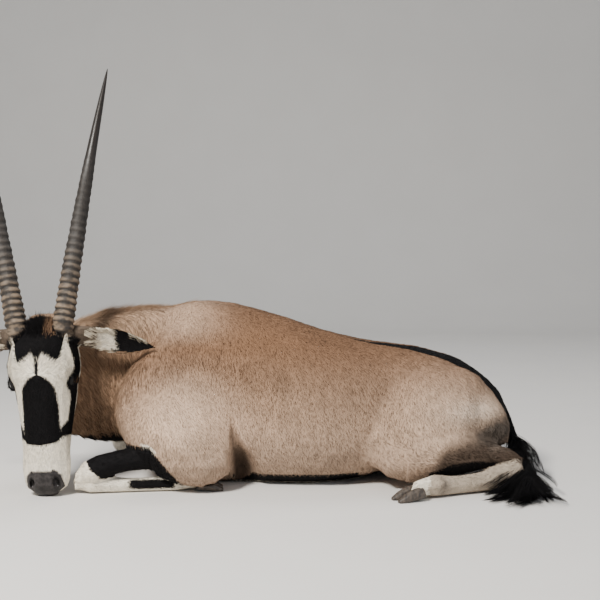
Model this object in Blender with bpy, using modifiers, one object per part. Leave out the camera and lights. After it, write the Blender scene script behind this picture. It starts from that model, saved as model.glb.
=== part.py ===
"""A gemsbok bull that lies on its chest with folded legs, its neck turned left and its muzzle on the floor.

Lengths are in metres, +Z is up and the floor is z = 0. The animal's rump points along +X and its left side
faces -Y. Each sub-part is modelled round the spine plane first, and the whole is then moved so that the
origin lies on the floor under the middle of its bounding box.
"""

import math
import random

import bmesh
import bpy
import numpy as np
from mathutils import Matrix, Vector

GAP = 0.0003  # width of the cuts that part the body
WELD = 1e-6  # points nearer than this are one
TRACE_VOLUME = 2e-12
FLOOR_REACH = 0.0004  # the body's points lower than this rest on the floor
LEAST_SHARE = 0.02  # a Boolean that leaves less of a shape than this has failed
ASKEW = (0.13, 0.31, 0.94)  # a direction that no thin tube follows
CLEARANCE = 0.0006  # how far a piece stays clear of a neighbour that it is trimmed to
SHIFT_TO_CENTRE = Vector((0.1514, 0.0375, 0.0))  # from the spine frame to the middle of the bounding box

# The trunk, from the breast to the buttocks: x, height of back, height of belly, half width.
TRUNK = [
    (-0.520, 0.330, 0.150, 0.070),
    (-0.485, 0.405, 0.085, 0.112),
    (-0.415, 0.462, 0.025, 0.150),
    (-0.330, 0.493, -0.015, 0.182),
    (-0.220, 0.492, -0.022, 0.212),
    (-0.090, 0.456, -0.022, 0.238),
    (0.040, 0.416, -0.020, 0.246),
    (0.160, 0.391, -0.004, 0.228),
    (0.280, 0.374, 0.025, 0.200),
    (0.380, 0.352, 0.040, 0.180),
    (0.460, 0.312, 0.050, 0.158),
    (0.520, 0.258, 0.062, 0.128),
    (0.560, 0.195, 0.078, 0.090),
    (0.588, 0.140, 0.095, 0.045),
]
# The neck, from inside the trunk to inside the skull: x, y, z, half width, half height.
NECK = [
    (-0.300, 0.000, 0.285, 0.140, 0.190),
    (-0.400, 0.000, 0.285, 0.138, 0.196),
    (-0.500, -0.004, 0.278, 0.122, 0.192),
    (-0.590, -0.030, 0.274, 0.106, 0.178),
    (-0.655, -0.085, 0.288, 0.092, 0.150),
    (-0.682, -0.150, 0.310, 0.080, 0.118),
    (-0.690, -0.205, 0.322, 0.064, 0.092),
]
# Muscle masses of the left side: x, y, z, half width, half thickness. The right side mirrors them.
SHOULDER_BLADE = [
    (-0.255, -0.095, 0.440, 0.050, 0.030),
    (-0.300, -0.130, 0.370, 0.085, 0.052),
    (-0.370, -0.150, 0.275, 0.100, 0.062),
    (-0.425, -0.150, 0.190, 0.092, 0.062),
    (-0.445, -0.145, 0.130, 0.060, 0.045),
]
UPPER_ARM = [
    (-0.438, -0.160, 0.210, 0.075, 0.055),
    (-0.395, -0.210, 0.165, 0.092, 0.076),
    (-0.320, -0.242, 0.122, 0.098, 0.080),
    (-0.248, -0.246, 0.082, 0.078, 0.066),
    (-0.208, -0.238, 0.062, 0.050, 0.048),
]
THIGH = [
    (0.470, -0.105, 0.270, 0.070, 0.055),
    (0.415, -0.140, 0.225, 0.118, 0.078),
    (0.335, -0.172, 0.165, 0.130, 0.088),
    (0.265, -0.195, 0.105, 0.100, 0.078),
    (0.225, -0.200, 0.072, 0.062, 0.055),
]
BUTTOCK = [
    (0.400, -0.110, 0.225, 0.090, 0.060),
    (0.485, -0.125, 0.175, 0.088, 0.064),
    (0.550, -0.125, 0.125, 0.052, 0.046),
]
GASKIN = [
    (0.225, -0.215, 0.082, 0.060, 0.055),
    (0.310, -0.228, 0.088, 0.068, 0.060),
    (0.410, -0.222, 0.092, 0.055, 0.050),
    (0.500, -0.212, 0.092, 0.038, 0.036),
    (0.560, -0.208, 0.086, 0.028, 0.027),
    (0.592, -0.206, 0.078, 0.018, 0.018),
]
# Lower legs of the left side: x, y, z, half width, half height.
FOREARM = [
    (-0.225, -0.182, 0.088, 0.036, 0.036),
    (-0.300, -0.208, 0.094, 0.045, 0.042),
    (-0.390, -0.232, 0.094, 0.042, 0.038),
    (-0.470, -0.252, 0.084, 0.033, 0.031),
    (-0.530, -0.264, 0.068, 0.034, 0.034),
    (-0.562, -0.268, 0.050, 0.030, 0.031),
    (-0.580, -0.270, 0.040, 0.017, 0.018),
]
FORE_CANNON = [
    (-0.576, -0.264, 0.026, 0.016, 0.018),
    (-0.560, -0.262, 0.027, 0.026, 0.027),
    (-0.525, -0.256, 0.024, 0.024, 0.025),
    (-0.450, -0.246, 0.019, 0.019, 0.020),
    (-0.370, -0.236, 0.020, 0.019, 0.021),
    (-0.325, -0.230, 0.023, 0.025, 0.024),
    (-0.288, -0.226, 0.024, 0.021, 0.020),
    (-0.268, -0.224, 0.024, 0.020, 0.019),
]
HIND_CANNON = [
    (0.580, -0.212, 0.066, 0.024, 0.028),
    (0.556, -0.222, 0.046, 0.027, 0.036),
    (0.505, -0.242, 0.032, 0.023, 0.030),
    (0.440, -0.268, 0.027, 0.021, 0.026),
    (0.385, -0.290, 0.027, 0.022, 0.027),
    (0.352, -0.304, 0.031, 0.028, 0.031),
    (0.320, -0.318, 0.029, 0.023, 0.025),
    (0.300, -0.327, 0.026, 0.022, 0.023),
]
TAIL_CORE = [
    (0.470, 0.000, 0.290, 0.028, 0.024),
    (0.535, -0.001, 0.246, 0.024, 0.022),
    (0.578, -0.004, 0.175, 0.021, 0.021),
    (0.606, -0.016, 0.105, 0.019, 0.019),
    (0.618, -0.060, 0.062, 0.025, 0.025),
    (0.614, -0.140, 0.042, 0.038, 0.036),
    (0.606, -0.225, 0.034, 0.036, 0.032),
    (0.596, -0.290, 0.026, 0.018, 0.020),
]

# The head, in its own frame: origin between the eyes, x to the muzzle, y to its left, z out of the bridge.
HEAD_ORIGIN = Vector((-0.676, -0.245, 0.304))
FACE_TILT = math.radians(14.0)  # the forehead leans away from the viewer
FACE_ROLL = math.radians(-3.6)  # and to the head's own right
FACE_YAW = math.radians(2.0)  # the nose bridge turns towards the head's own right
# x, height of the widest line, height above it, depth below it, half width, width at top, width at bottom.
SKULL = [
    (0.305, -0.029, 0.018, 0.020, 0.028, 0.90, 0.90),
    (0.300, -0.028, 0.030, 0.032, 0.043, 0.90, 0.86),
    (0.286, -0.027, 0.040, 0.042, 0.056, 0.86, 0.80),
    (0.250, -0.024, 0.046, 0.050, 0.062, 0.82, 0.74),
    (0.190, -0.025, 0.058, 0.064, 0.062, 0.82, 0.74),
    (0.135, -0.029, 0.069, 0.080, 0.067, 0.80, 0.70),
    (0.085, -0.031, 0.078, 0.098, 0.073, 0.78, 0.68),
    (0.045, -0.028, 0.083, 0.110, 0.080, 0.78, 0.64),
    (0.008, -0.022, 0.083, 0.120, 0.087, 0.80, 0.62),
    (-0.032, -0.010, 0.071, 0.134, 0.098, 0.85, 0.60),
    (-0.075, -0.012, 0.070, 0.126, 0.093, 0.86, 0.62),
    (-0.110, -0.018, 0.063, 0.108, 0.082, 0.86, 0.66),
    (-0.145, -0.028, 0.046, 0.080, 0.066, 0.84, 0.74),
    (-0.172, -0.034, 0.026, 0.040, 0.036, 0.90, 0.90),
]
EYE_CENTRE = Vector((0.008, 0.0730, -0.006))
EYE_RADIUS = 0.0195
LID_REACH = 0.0225  # half length of the eye's slit
LID_RISE = (-0.0108, 0.0128)  # height of the lower and of the upper lid's edge over the eye's middle
LID_THICKNESS = 0.0052
NOSTRIL_CENTRE = Vector((0.276, 0.034, 0.008))
NOSTRIL_RADIUS = 0.0125
NOSTRIL_STRETCH = (1.15, 0.50, 0.80)
MOUTH_CORNER = ((0.196, -0.050), (0.3035, -0.041))  # x and height at the corner, and at the front
MOUTH_STEPS = 7
MOUTH_GROOVE = 0.0068
SKULL_SQUARE = 0.84  # power of the head's sections: 1 is an ellipse, and less is squarer
SKULL_RINGS = 23
SKULL_SIDES = 20
BROW_RIDGE = (-0.005, 0.030, 0.006)  # place, spread and height of the ridge over the eyes
NECK_CUT = Vector((-0.060, 0.0, -0.045))  # where the head parts from the neck, in the head's frame
NECK_CUT_NORMAL = Vector((-0.38, 0.0, -0.93))
THROAT_REACH = 0.30  # side of the block that parts the throat from the neck
NECK_END = -0.485  # x where the neck parts from the torso
# Blocks that part each limb of the right side from the torso: low corner and high corner.
LIMB_BLOCKS = {
    "shoulder": ((-0.60, 0.145, -1.0), (-0.165, 1.0, 0.42)),
    "thigh": ((0.165, 0.135, 0.118), (1.0, 1.0, 0.33)),
    "shank": ((0.165, 0.135, -1.0), (1.0, 1.0, 0.118 - GAP)),
}

HORN_LENGTH = 0.766
HORN_RADIUS = 0.0305
HORN_BASE = Vector((-0.112, 0.058, 0.020))
HORN_SPREAD = math.radians(9.7)
HORN_LEAN_BACK = math.radians(4.5)
HORN_BEND = 0.018  # how far the middle of a horn bows forwards
HORN_RINGS = 25
HORN_RINGED_SHARE = 0.60
HORN_FIRST_RING = -0.022
HORN_SIDES = 8
HORN_FLATNESS = 0.94

EAR_LENGTH = 0.232
EAR_HALF_WIDTH = 0.040
EAR_WIDTHS = (0.50, 0.72, 0.84, 0.92, 1.0, 0.82, 0.46, 0.12)  # shares of the half width, root to tip
EAR_STATIONS = (0.0, 0.15, 0.32, 0.50, 0.61, 0.76, 0.90, 1.0)  # where they stand along the ear
EAR_WALL = 0.0045
EAR_ROOT = Vector((-0.112, 0.064, -0.010))

# Share of the toe's length, height and width there.
TOE_PROFILE = [
    (0.00, 1.00, 0.92),
    (0.28, 1.02, 1.00),
    (0.62, 0.74, 0.84),
    (0.92, 0.34, 0.42),
]
TOE_LENGTH = 0.078
TOE_HALF_WIDTH = 0.0165
TOE_HEIGHT = 0.022
DEWCLAW_RADIUS = 0.0105

TUFT_LOCKS = 26
TUFT_LOCK = (0.143, 0.020, 0.0085)  # length, half width and half thickness
MANE_LOCKS = 17
MANE_LOCK = (0.046, 0.014, 0.0060)
GOLDEN_TURN = 2.4  # radians from one lock to the next round the tail
MANE_PLACES = (18.5, 14.5)  # first place on the crest's 41 points, and how many places the mane takes

BODY_TRIANGLES = 3200
BODY_VOXEL = 0.0105
SMOOTH_ROUNDS = 9

TAN = (0.47, 0.36, 0.27)
BLACK = (0.018, 0.016, 0.016)
WHITE = (0.80, 0.77, 0.70)
HORN_BROWN = (0.085, 0.068, 0.055)
HOOF_GREY = (0.10, 0.085, 0.075)
EYE_BROWN = (0.025, 0.014, 0.009)

model = None  # the collection that holds the nodes
helpers = None  # the collection that holds the cutters


def clear_scene():
    for item in list(bpy.data.objects):
        bpy.data.objects.remove(item)


def add_collection(name):
    made = bpy.data.collections.new(name)
    bpy.context.scene.collection.children.link(made)
    return made


def coat_material(name, colour, roughness):
    made = bpy.data.materials.get(name)
    if made:
        return made
    made = bpy.data.materials.new(name)
    made.use_nodes = True
    shader = made.node_tree.nodes["Principled BSDF"]
    shader.inputs["Base Color"].default_value = (*colour, 1.0)
    shader.inputs["Roughness"].default_value = roughness
    shader.inputs["Metallic"].default_value = 0.0
    made.diffuse_color = (*colour, 1.0)
    return made


def finish_node(item, name, material):
    """Makes an object one of the model's nodes."""
    item.name = name
    item.data.name = name
    item.data.materials.clear()
    item.data.materials.append(material)
    for collection in list(item.users_collection):
        collection.objects.unlink(item)
    model.objects.link(item)
    item.hide_render = False
    item.display_type = "TEXTURED"
    item.data.shade_smooth()
    item.data.set_sharp_from_angle(angle=math.radians(50))
    return item


def helper_object(mesh_shape, name="helper"):
    """A new helper object that holds the bmesh's shape, and frees the bmesh."""
    mesh = bpy.data.meshes.new(name)
    mesh_shape.to_mesh(mesh)
    mesh_shape.free()
    item = bpy.data.objects.new(name, mesh)
    item.hide_render = True
    item.display_type = "WIRE"
    helpers.objects.link(item)
    return item


def baked(item):
    """Replaces an object's mesh by its evaluated one and drops its modifiers."""
    bpy.context.view_layer.update()
    graph = bpy.context.evaluated_depsgraph_get()
    mesh = bpy.data.meshes.new_from_object(item.evaluated_get(graph))
    item.modifiers.clear()
    item.data = mesh
    return item


def copy_of(item, name="copy"):
    made = item.copy()
    made.data = item.data.copy()
    made.name = name
    helpers.objects.link(made)
    for collection in list(made.users_collection):
        if collection is not helpers:
            collection.objects.unlink(made)
    made.hide_render = True
    return made


def discard(*items):
    for item in items:
        bpy.data.objects.remove(item)


def volume_of(faces):
    """Signed volume that some faces enclose."""
    total = 0.0
    for face in faces:
        points = [vertex.co for vertex in face.verts]
        for near, far in zip(points[1:], points[2:], strict=False):
            total += points[0].dot(near.cross(far)) / 6
    return total


def tidied(mesh):
    """A mesh's triangles as a bmesh, welded unless the weld would pinch the surface."""
    for weld in (True, False):
        shape = bmesh.new()
        shape.from_mesh(mesh)
        if weld:
            bmesh.ops.remove_doubles(shape, verts=shape.verts, dist=WELD)
            bmesh.ops.dissolve_degenerate(shape, edges=shape.edges, dist=WELD)
        bmesh.ops.triangulate(shape, faces=shape.faces)
        if not weld or all(edge.is_manifold for edge in shape.edges):
            return shape
        shape.free()
    return shape


def keep_largest(item):
    """Leaves only the largest closed surface of a mesh."""
    shape = tidied(item.data)
    left = set(shape.faces)
    pieces = []
    while left:
        stack = [left.pop()]
        piece = set(stack)
        while stack:
            for edge in stack.pop().edges:
                for face in edge.link_faces:
                    if face not in piece:
                        piece.add(face)
                        stack.append(face)
        left -= piece
        pieces.append(piece)
    pieces.sort(key=volume_of, reverse=True)
    for piece in pieces[1:]:
        bmesh.ops.delete(shape, geom=list(piece), context="FACES")
    shape.to_mesh(item.data)
    shape.free()
    return item


def solid_volume(mesh):
    """Volume of a mesh, or zero where an edge of it doesn't lie between exactly two faces."""
    shape = bmesh.new()
    shape.from_mesh(mesh)
    closed = all(edge.is_manifold for edge in shape.edges)
    volume = shape.calc_volume(signed=True) if closed else 0.0
    shape.free()
    return volume


def boolean(item, other, operation):
    """Applies one Boolean with another object, by the second solver where the first fails on the shapes."""
    before = item.data
    least = LEAST_SHARE * solid_volume(before)
    for solver in ("EXACT", "MANIFOLD"):
        item.data = before.copy()
        modifier = item.modifiers.new("boolean", "BOOLEAN")
        modifier.operation = operation
        modifier.solver = solver
        modifier.object = other
        keep_largest(baked(item))
        if solid_volume(item.data) > least:
            break
    return item


def join_all(item, others):
    """Fuses the other closed objects into the first by one Boolean union, and removes them."""
    group = add_collection("to_join")
    for other in others:
        group.objects.link(other)
    modifier = item.modifiers.new("join", "BOOLEAN")
    modifier.operation = "UNION"
    modifier.solver = "MANIFOLD"
    modifier.operand_type = "COLLECTION"
    modifier.collection = group
    keep_largest(baked(item))
    discard(*others)
    bpy.data.collections.remove(group)
    return item


def grown(item, distance=CLEARANCE):
    """A copy of an object with its surface moved outwards."""
    made = copy_of(item, "grown")
    modifier = made.modifiers.new("grow", "DISPLACE")
    modifier.mid_level = 0.0
    modifier.strength = distance
    return baked(made)


def overlaps(item, other):
    """Whether two objects share more than a trace of space."""
    common = copy_of(item, "common")
    modifier = common.modifiers.new("common", "BOOLEAN")
    modifier.operation = "INTERSECT"
    modifier.solver = "MANIFOLD"
    modifier.object = other
    shared = solid_volume(baked(common).data)
    discard(common)
    return shared > TRACE_VOLUME


def trim(item, *neighbours):
    """Cuts an object back to a small gap from the neighbours that it meets."""
    for neighbour in neighbours:
        for reach in (1.0, 2.0, 4.0):
            cutter = grown(neighbour, reach * CLEARANCE)
            boolean(item, cutter, "DIFFERENCE")
            discard(cutter)
            if not overlaps(item, neighbour):
                break
    return item


def set_on_floor(item):
    """Cuts off what reaches below the floor."""
    if min(vertex.co.z for vertex in item.data.vertices) >= 0:
        return item
    below = box((-2.0, -2.0, -1.0), (2.0, 2.0, 0.0))
    boolean(item, below, "DIFFERENCE")
    discard(below)
    return item


def press_on_floor(item):
    """Flattens what reaches to the floor or below it on to the floor."""
    for vertex in item.data.vertices:
        if vertex.co.z < FLOOR_REACH:
            vertex.co.z = 0.0
    item.data.update()


def eased(rows, count):
    """Rows of numbers resampled on a smooth curve through them, evenly by the length of their path."""
    points = np.array(rows, float)
    legs = np.linalg.norm(np.diff(points[:, :3], axis=0), axis=1)
    along = np.concatenate([[0.0], np.cumsum(legs)])
    padded = np.vstack([2 * points[0] - points[1], points, 2 * points[-1] - points[-2]])
    wanted = np.linspace(0.0, along[-1], count)
    index = np.clip(np.searchsorted(along, wanted, side="right") - 1, 0, len(legs) - 1)
    t = ((wanted - along[index]) / legs[index])[:, None]
    a, b, c, d = (padded[index + k] for k in range(4))
    return 0.5 * (2 * b + (c - a) * t + (2 * a - 5 * b + 4 * c - d) * t**2 + (3 * b - a - 3 * c + d) * t**3)


def signed_power(value, power):
    return math.copysign(abs(value) ** power, value)


def loft(rings, start=None, end=None):
    """A closed skin over rings of equally many points. Each end runs to a point, or to its ring's middle."""
    shape = bmesh.new()
    rows = [[shape.verts.new(point) for point in ring] for ring in rings]
    count = len(rows[0])
    for near, far in zip(rows, rows[1:], strict=False):
        for i in range(count):
            j = (i + 1) % count
            shape.faces.new((near[i], near[j], far[j], far[i]))
    for row, point, turn in ((rows[0], start, False), (rows[-1], end, True)):
        middle = sum((vertex.co for vertex in row), Vector()) / count
        pole = shape.verts.new(point if point is not None else middle)
        for i in range(count):
            j = (i + 1) % count
            shape.faces.new((row[j], row[i], pole) if not turn else (row[i], row[j], pole))
    bmesh.ops.recalc_face_normals(shape, faces=shape.faces)
    if shape.calc_volume(signed=True) < 0:
        bmesh.ops.reverse_faces(shape, faces=shape.faces)
    return shape


def sweep(rows, steps, sides, up=(0.0, 0.0, 1.0), power=2.0, low_power=None, end_round=0.35):
    """A limb of rounded sections: rows of x, y, z, half width, half height. The low half may be squarer."""
    table = eased(rows, steps)
    centres = table[:, :3]
    tangents = np.gradient(centres, axis=0)
    rings = []
    for centre, tangent, (half_width, half_height) in zip(centres, tangents, table[:, 3:5], strict=True):
        ahead = Vector(tangent).normalized()
        side = ahead.cross(Vector(up)).normalized()
        over = side.cross(ahead)
        ring = []
        for i in range(sides):
            angle = 2 * math.pi * i / sides
            squareness = 2 / (low_power if low_power and math.sin(angle) < 0 else power)
            across = half_width * signed_power(math.cos(angle), squareness)
            height = half_height * signed_power(math.sin(angle), squareness)
            ring.append(Vector(centre) + side * across + over * height)
        rings.append(ring)
    first, last = Vector(centres[0]), Vector(centres[-1])
    back = (first - Vector(centres[1])).normalized() * table[0, 3:5].min() * end_round
    ahead = (last - Vector(centres[-2])).normalized() * table[-1, 3:5].min() * end_round
    return loft(rings, first + back, last + ahead)


def mirrored(rows):
    """The right side's rows, from the left side's."""
    return [(row[0], -row[1], *row[2:]) for row in rows]


def head_matrix():
    """Places the head's own frame in the model."""
    upwards = Vector((math.sin(FACE_ROLL), math.sin(FACE_TILT), 1.0)).normalized()
    outwards = Vector((-math.sin(FACE_YAW), -math.cos(FACE_YAW), 0.0))
    outwards = (outwards - upwards * outwards.dot(upwards)).normalized()
    leftwards = upwards.cross(outwards)
    turn = Matrix((-upwards, leftwards, outwards)).transposed().to_4x4()
    return Matrix.Translation(HEAD_ORIGIN) @ turn


def ball(radius, centre, scale=(1.0, 1.0, 1.0), segments=16, rings=10, turn=None):
    """A sphere or ellipsoid helper."""
    shape = bmesh.new()
    placed = Matrix.Translation(centre) @ (turn or Matrix.Identity(4)) @ Matrix.Diagonal((*scale, 1.0))
    bmesh.ops.create_uvsphere(shape, u_segments=segments, v_segments=rings, radius=radius, matrix=placed)
    return shape


def box(low, high, side=1):
    """A box helper between two corners, on the other side of the spine plane where side is -1."""
    low, high = Vector(low), Vector(high)
    if side < 0:
        low.y, high.y = -high.y, -low.y
    shape = bmesh.new()
    placed = Matrix.Translation((low + high) / 2) @ Matrix.Diagonal((*(high - low), 1.0))
    bmesh.ops.create_cube(shape, size=1.0, matrix=placed)
    return helper_object(shape, "box")


def trunk_shape():
    rows = [(x, 0.0, (top + low) / 2, half, (top - low) / 2) for x, top, low, half in TRUNK]
    return sweep(rows, 34, 36, power=2.2, low_power=2.9, end_round=0.5)


def whole_body():
    """Trunk, neck and muscle masses blended into one closed skin."""
    shapes = [trunk_shape(), sweep(NECK, 16, 24, power=2.1)]
    for rows in (SHOULDER_BLADE, UPPER_ARM, THIGH, BUTTOCK, GASKIN):
        for side in (rows, mirrored(rows)):
            shapes.append(sweep(side, 10, 18, up=(0.0, 1.0, 0.0), end_round=0.8))
    whole = bmesh.new()
    for shape in shapes:
        mesh = bpy.data.meshes.new("mass")
        shape.to_mesh(mesh)
        shape.free()
        whole.from_mesh(mesh)
        bpy.data.meshes.remove(mesh)
    body = helper_object(whole, "body")
    remesh = body.modifiers.new("blend", "REMESH")
    remesh.mode = "VOXEL"
    remesh.voxel_size = BODY_VOXEL
    soften = body.modifiers.new("soften", "SMOOTH")
    soften.factor = 0.5
    soften.iterations = SMOOTH_ROUNDS
    baked(body)
    press_on_floor(body)
    triangles = sum(len(face.vertices) - 2 for face in body.data.polygons)
    thin = body.modifiers.new("thin", "DECIMATE")
    thin.ratio = BODY_TRIANGLES / triangles
    keep_largest(baked(body))
    press_on_floor(body)
    return body


def head_shape():
    """The head's rounded loft in its own frame."""
    rows = eased([(row[0], 0.0, 0.0, *row[1:]) for row in SKULL], SKULL_RINGS)
    rings = []
    for x, _, _, middle, above, below, half, top_share, low_share in rows:
        ring = []
        for i in range(SKULL_SIDES):
            angle = 2 * math.pi * i / SKULL_SIDES
            across, height = math.cos(angle), math.sin(angle)
            across = signed_power(across, SKULL_SQUARE)
            height = signed_power(height, SKULL_SQUARE)
            share = 1 + ((top_share if height > 0 else low_share) - 1) * abs(height) ** 1.6
            z = middle + height * (above if height > 0 else below)
            ring.append(Vector((x, half * across * share, z + brow_rise(x, across, height))))
        rings.append(ring)
    return loft(rings, Vector((SKULL[0][0] + 0.003, 0, SKULL[0][1])), None)


def brow_rise(x, across, height):
    """A low ridge over each eye."""
    middle, spread, rise = BROW_RIDGE
    if height <= 0:
        return 0.0
    return rise * math.exp(-(((x - middle) / spread) ** 2) - ((abs(across) - 0.75) / 0.25) ** 2)


def tube_along(points, radius, sides=5):
    """A thin tube through points, with the radius easing to half at both ends."""
    last = len(points) - 1
    rows = []
    for i, point in enumerate(points):
        here = radius * (0.45 + 0.55 * math.sin(math.pi * i / last))
        rows.append((*point, here, here))
    return sweep(rows, len(points), sides, up=ASKEW)


def lid_arc(side, upper):
    """One eyelid, a rounded rim that follows half of the eye's slit over the eyeball."""
    points = []
    steps = 8
    for i in range(steps):
        share = -1 + 2 * i / (steps - 1)
        along = share * LID_REACH
        rise = LID_RISE[upper] * math.sqrt(max(0.0, 1 - share * share))
        out = math.sqrt(max(0.0, (EYE_RADIUS + 0.0008) ** 2 - (0.72 * along) ** 2 - rise * rise))
        y = side * (EYE_CENTRE.y + out * 0.93)
        points.append((EYE_CENTRE.x + along, y, EYE_CENTRE.z + rise + 0.12 * along))
    return tube_along(points, LID_THICKNESS)


def skull_side(x, z):
    """Half width of the head at a height, on the curve that head_shape draws there."""
    rows = np.array(SKULL)[::-1]
    columns = [np.interp(x, rows[:, 0], rows[:, k]) for k in range(1, 7)]
    middle, above, below, half, top_share, low_share = columns
    height = min(0.999, abs(z - middle) / (above if z > middle else below))
    share = 1 + ((top_share if z > middle else low_share) - 1) * height**1.6
    return half * share * math.sqrt(1 - height ** (2 / SKULL_SQUARE)) ** SKULL_SQUARE


def mouth_path():
    """The line between the lips, from one corner of the mouth round the chin to the other."""
    low, front = MOUTH_CORNER
    side = []
    for i in range(MOUTH_STEPS):
        share = math.sin(math.pi / 2 * i / (MOUTH_STEPS - 1))
        x = low[0] + (front[0] - low[0]) * share
        z = low[1] + (front[1] - low[1]) * share
        side.append((x, skull_side(x, z), z))
    return side + [(x, -y, z) for x, y, z in reversed(side)]


def eye_ball(side, radius):
    return ball(radius, Vector((EYE_CENTRE.x, side * EYE_CENTRE.y, EYE_CENTRE.z)), segments=12, rings=8)


def make_head(throat):
    """The head with sockets, lids, nostrils and mouth, fused with the throat that comes out of the neck."""
    place = head_matrix()
    head = helper_object(head_shape(), "head")
    throat.data.transform(place.inverted())
    boolean(head, throat, "UNION")
    groove = helper_object(tube_along(mouth_path(), MOUTH_GROOVE), "groove")
    boolean(head, groove, "DIFFERENCE")
    discard(groove)
    lids = []
    for side in (1, -1):
        socket = helper_object(eye_ball(side, EYE_RADIUS + GAP), "socket")
        boolean(head, socket, "DIFFERENCE")
        for upper in (True, False):
            lid = helper_object(lid_arc(side, upper), "lid")
            boolean(lid, socket, "DIFFERENCE")
            lids.append(lid)
        discard(socket)
        turn = Matrix.Rotation(side * math.radians(28), 4, "Z") @ Matrix.Rotation(math.radians(24), 4, "Y")
        place_here = Vector((NOSTRIL_CENTRE.x, side * NOSTRIL_CENTRE.y, NOSTRIL_CENTRE.z))
        hole = helper_object(ball(NOSTRIL_RADIUS, place_here, NOSTRIL_STRETCH, 10, 7, turn), "nostril")
        boolean(head, hole, "DIFFERENCE")
        discard(hole)
    join_all(head, lids)
    head.data.transform(place)
    return head


def make_eye(side):
    eye = helper_object(eye_ball(side, EYE_RADIUS), "eye")
    eye.data.transform(head_matrix())
    return eye


def horn_direction(side):
    """Unit direction of a horn in the head's frame: backwards, outwards and a little down from the face."""
    spread = math.sin(HORN_SPREAD)
    down = math.sin(HORN_LEAN_BACK)
    return Vector((-math.sqrt(1 - spread * spread - down * down), side * spread, -down))


def make_horn(side):
    """A long tapering horn: strong rings on its lower half and a smooth point."""
    base = Vector((HORN_BASE.x, side * HORN_BASE.y, HORN_BASE.z))
    heading = horn_direction(side)
    forward = Vector((0.0, 0.0, 1.0))
    forward = (forward - heading * forward.dot(heading)).normalized()
    across = heading.cross(forward)
    stations = [(-0.036, 1.0)]
    for i in range(HORN_RINGS):
        share = i / (HORN_RINGS - 1)
        place = HORN_FIRST_RING + (HORN_RINGED_SHARE * HORN_LENGTH - HORN_FIRST_RING) * share**1.22
        step = 0.0105 + 0.010 * share
        ridge = 1.0 + 0.10 * (1 - share) ** 0.4 + 0.01
        stations += [(place - 0.28 * step, 1.0), (place, ridge)]
    for share in (0.63, 0.72, 0.81, 0.89, 0.95, 0.985):
        stations.append((share * HORN_LENGTH, 1.0))
    rings = []
    for place, swell in stations:
        share = max(0.0, place / HORN_LENGTH)
        radius = HORN_RADIUS * swell * (1 - share**1.75) ** 0.92 * (1 - 0.12 * share)
        bow = HORN_BEND * math.sin(math.pi * min(1.0, share))
        centre = base + heading * place + forward * bow
        ring = []
        for i in range(HORN_SIDES):
            angle = 2 * math.pi * i / HORN_SIDES
            side_step = across * math.cos(angle) * HORN_FLATNESS
            ring.append(centre + (side_step + forward * math.sin(angle)) * radius)
        rings.append(ring)
    horn = helper_object(loft(rings, None, base + heading * HORN_LENGTH), "horn")
    horn.data.transform(head_matrix())
    return horn


def ear_heading(side):
    """Unit direction of an ear in the head's frame. The left ear droops a little more than the right."""
    droop = 0.19 if side > 0 else 0.06
    return Vector((droop, side * 0.94, -0.16)).normalized()


def make_ear(side):
    """A leaf-shaped ear whose front is hollowed into a cup."""
    root = Vector((EAR_ROOT.x, side * EAR_ROOT.y, EAR_ROOT.z))
    heading = ear_heading(side)
    opening = Vector((0.62, 0.0, 0.78))
    opening = (opening - heading * opening.dot(heading)).normalized()
    across = heading.cross(opening)
    rings = []
    sides = 12
    steps = 12
    for i in range(steps):
        share = i / (steps - 1)
        place = EAR_LENGTH * (-0.10 + 1.08 * share)
        width = EAR_HALF_WIDTH * float(np.interp(share, EAR_STATIONS, EAR_WIDTHS))
        depth = max(0.0045, 0.026 * (1 - share) ** 0.55)
        hollow = min(1.0, max(0.0, (share - 0.20) / 0.22))
        front = depth * (1 - hollow) * 0.9 - (depth - EAR_WALL * 0.8) * hollow
        centre = root + heading * place
        ring = []
        for k in range(sides):
            angle = 2 * math.pi * k / sides
            height = math.sin(angle) * (front if math.sin(angle) > 0 else depth)
            ring.append(centre + across * width * math.cos(angle) + opening * height)
        rings.append(ring)
    ear = helper_object(loft(rings, None, root + heading * EAR_LENGTH), "ear")
    ear.data.transform(head_matrix())
    return ear


def make_toe(root, heading, side_shift, up=(0.0, 0.0, 1.0)):
    """One half of a cloven hoof: a pointed wedge with a flat sole."""
    heading = Vector(heading).normalized()
    across = heading.cross(Vector(up)).normalized()
    over = across.cross(heading)
    start = Vector(root) + across * side_shift * TOE_HALF_WIDTH * 1.08
    rings = []
    sides = 8
    for share, height, width in TOE_PROFILE:
        centre = start + heading * TOE_LENGTH * share + over * TOE_HEIGHT * 0.42 * (height - 1.0)
        ring = []
        for k in range(sides):
            angle = 2 * math.pi * k / sides
            y = math.cos(angle) * TOE_HALF_WIDTH * width - side_shift * TOE_HALF_WIDTH * 0.06 * share
            z = math.sin(angle) * TOE_HEIGHT * 0.5 * height * (1.0 if math.sin(angle) > 0 else 0.8)
            ring.append(centre + across * y + over * z * 1.5)
        rings.append(ring)
    return helper_object(loft(rings), "toe")


def make_leg_tube(rows, steps=14, sides=14):
    return set_on_floor(helper_object(sweep(rows, steps, sides, end_round=0.9), "leg"))


def add_dewclaws(cannon, rows):
    """Fuses the two small claws behind the fetlock."""
    fetlock = Vector(rows[5][:3])
    ahead = (Vector(rows[-1][:3]) - Vector(rows[-3][:3])).normalized()
    across = ahead.cross(Vector((0, 0, 1))).normalized()
    claws = []
    for turn in (1, -1):
        middle = fetlock + across * turn * 0.021 - ahead * 0.004 + Vector((0, 0, 0.010))
        shape = ball(DEWCLAW_RADIUS, middle, (1.25, 0.8, 0.9), 6, 4)
        claws.append(set_on_floor(helper_object(shape, "claw")))
    return join_all(cannon, claws)


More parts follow.
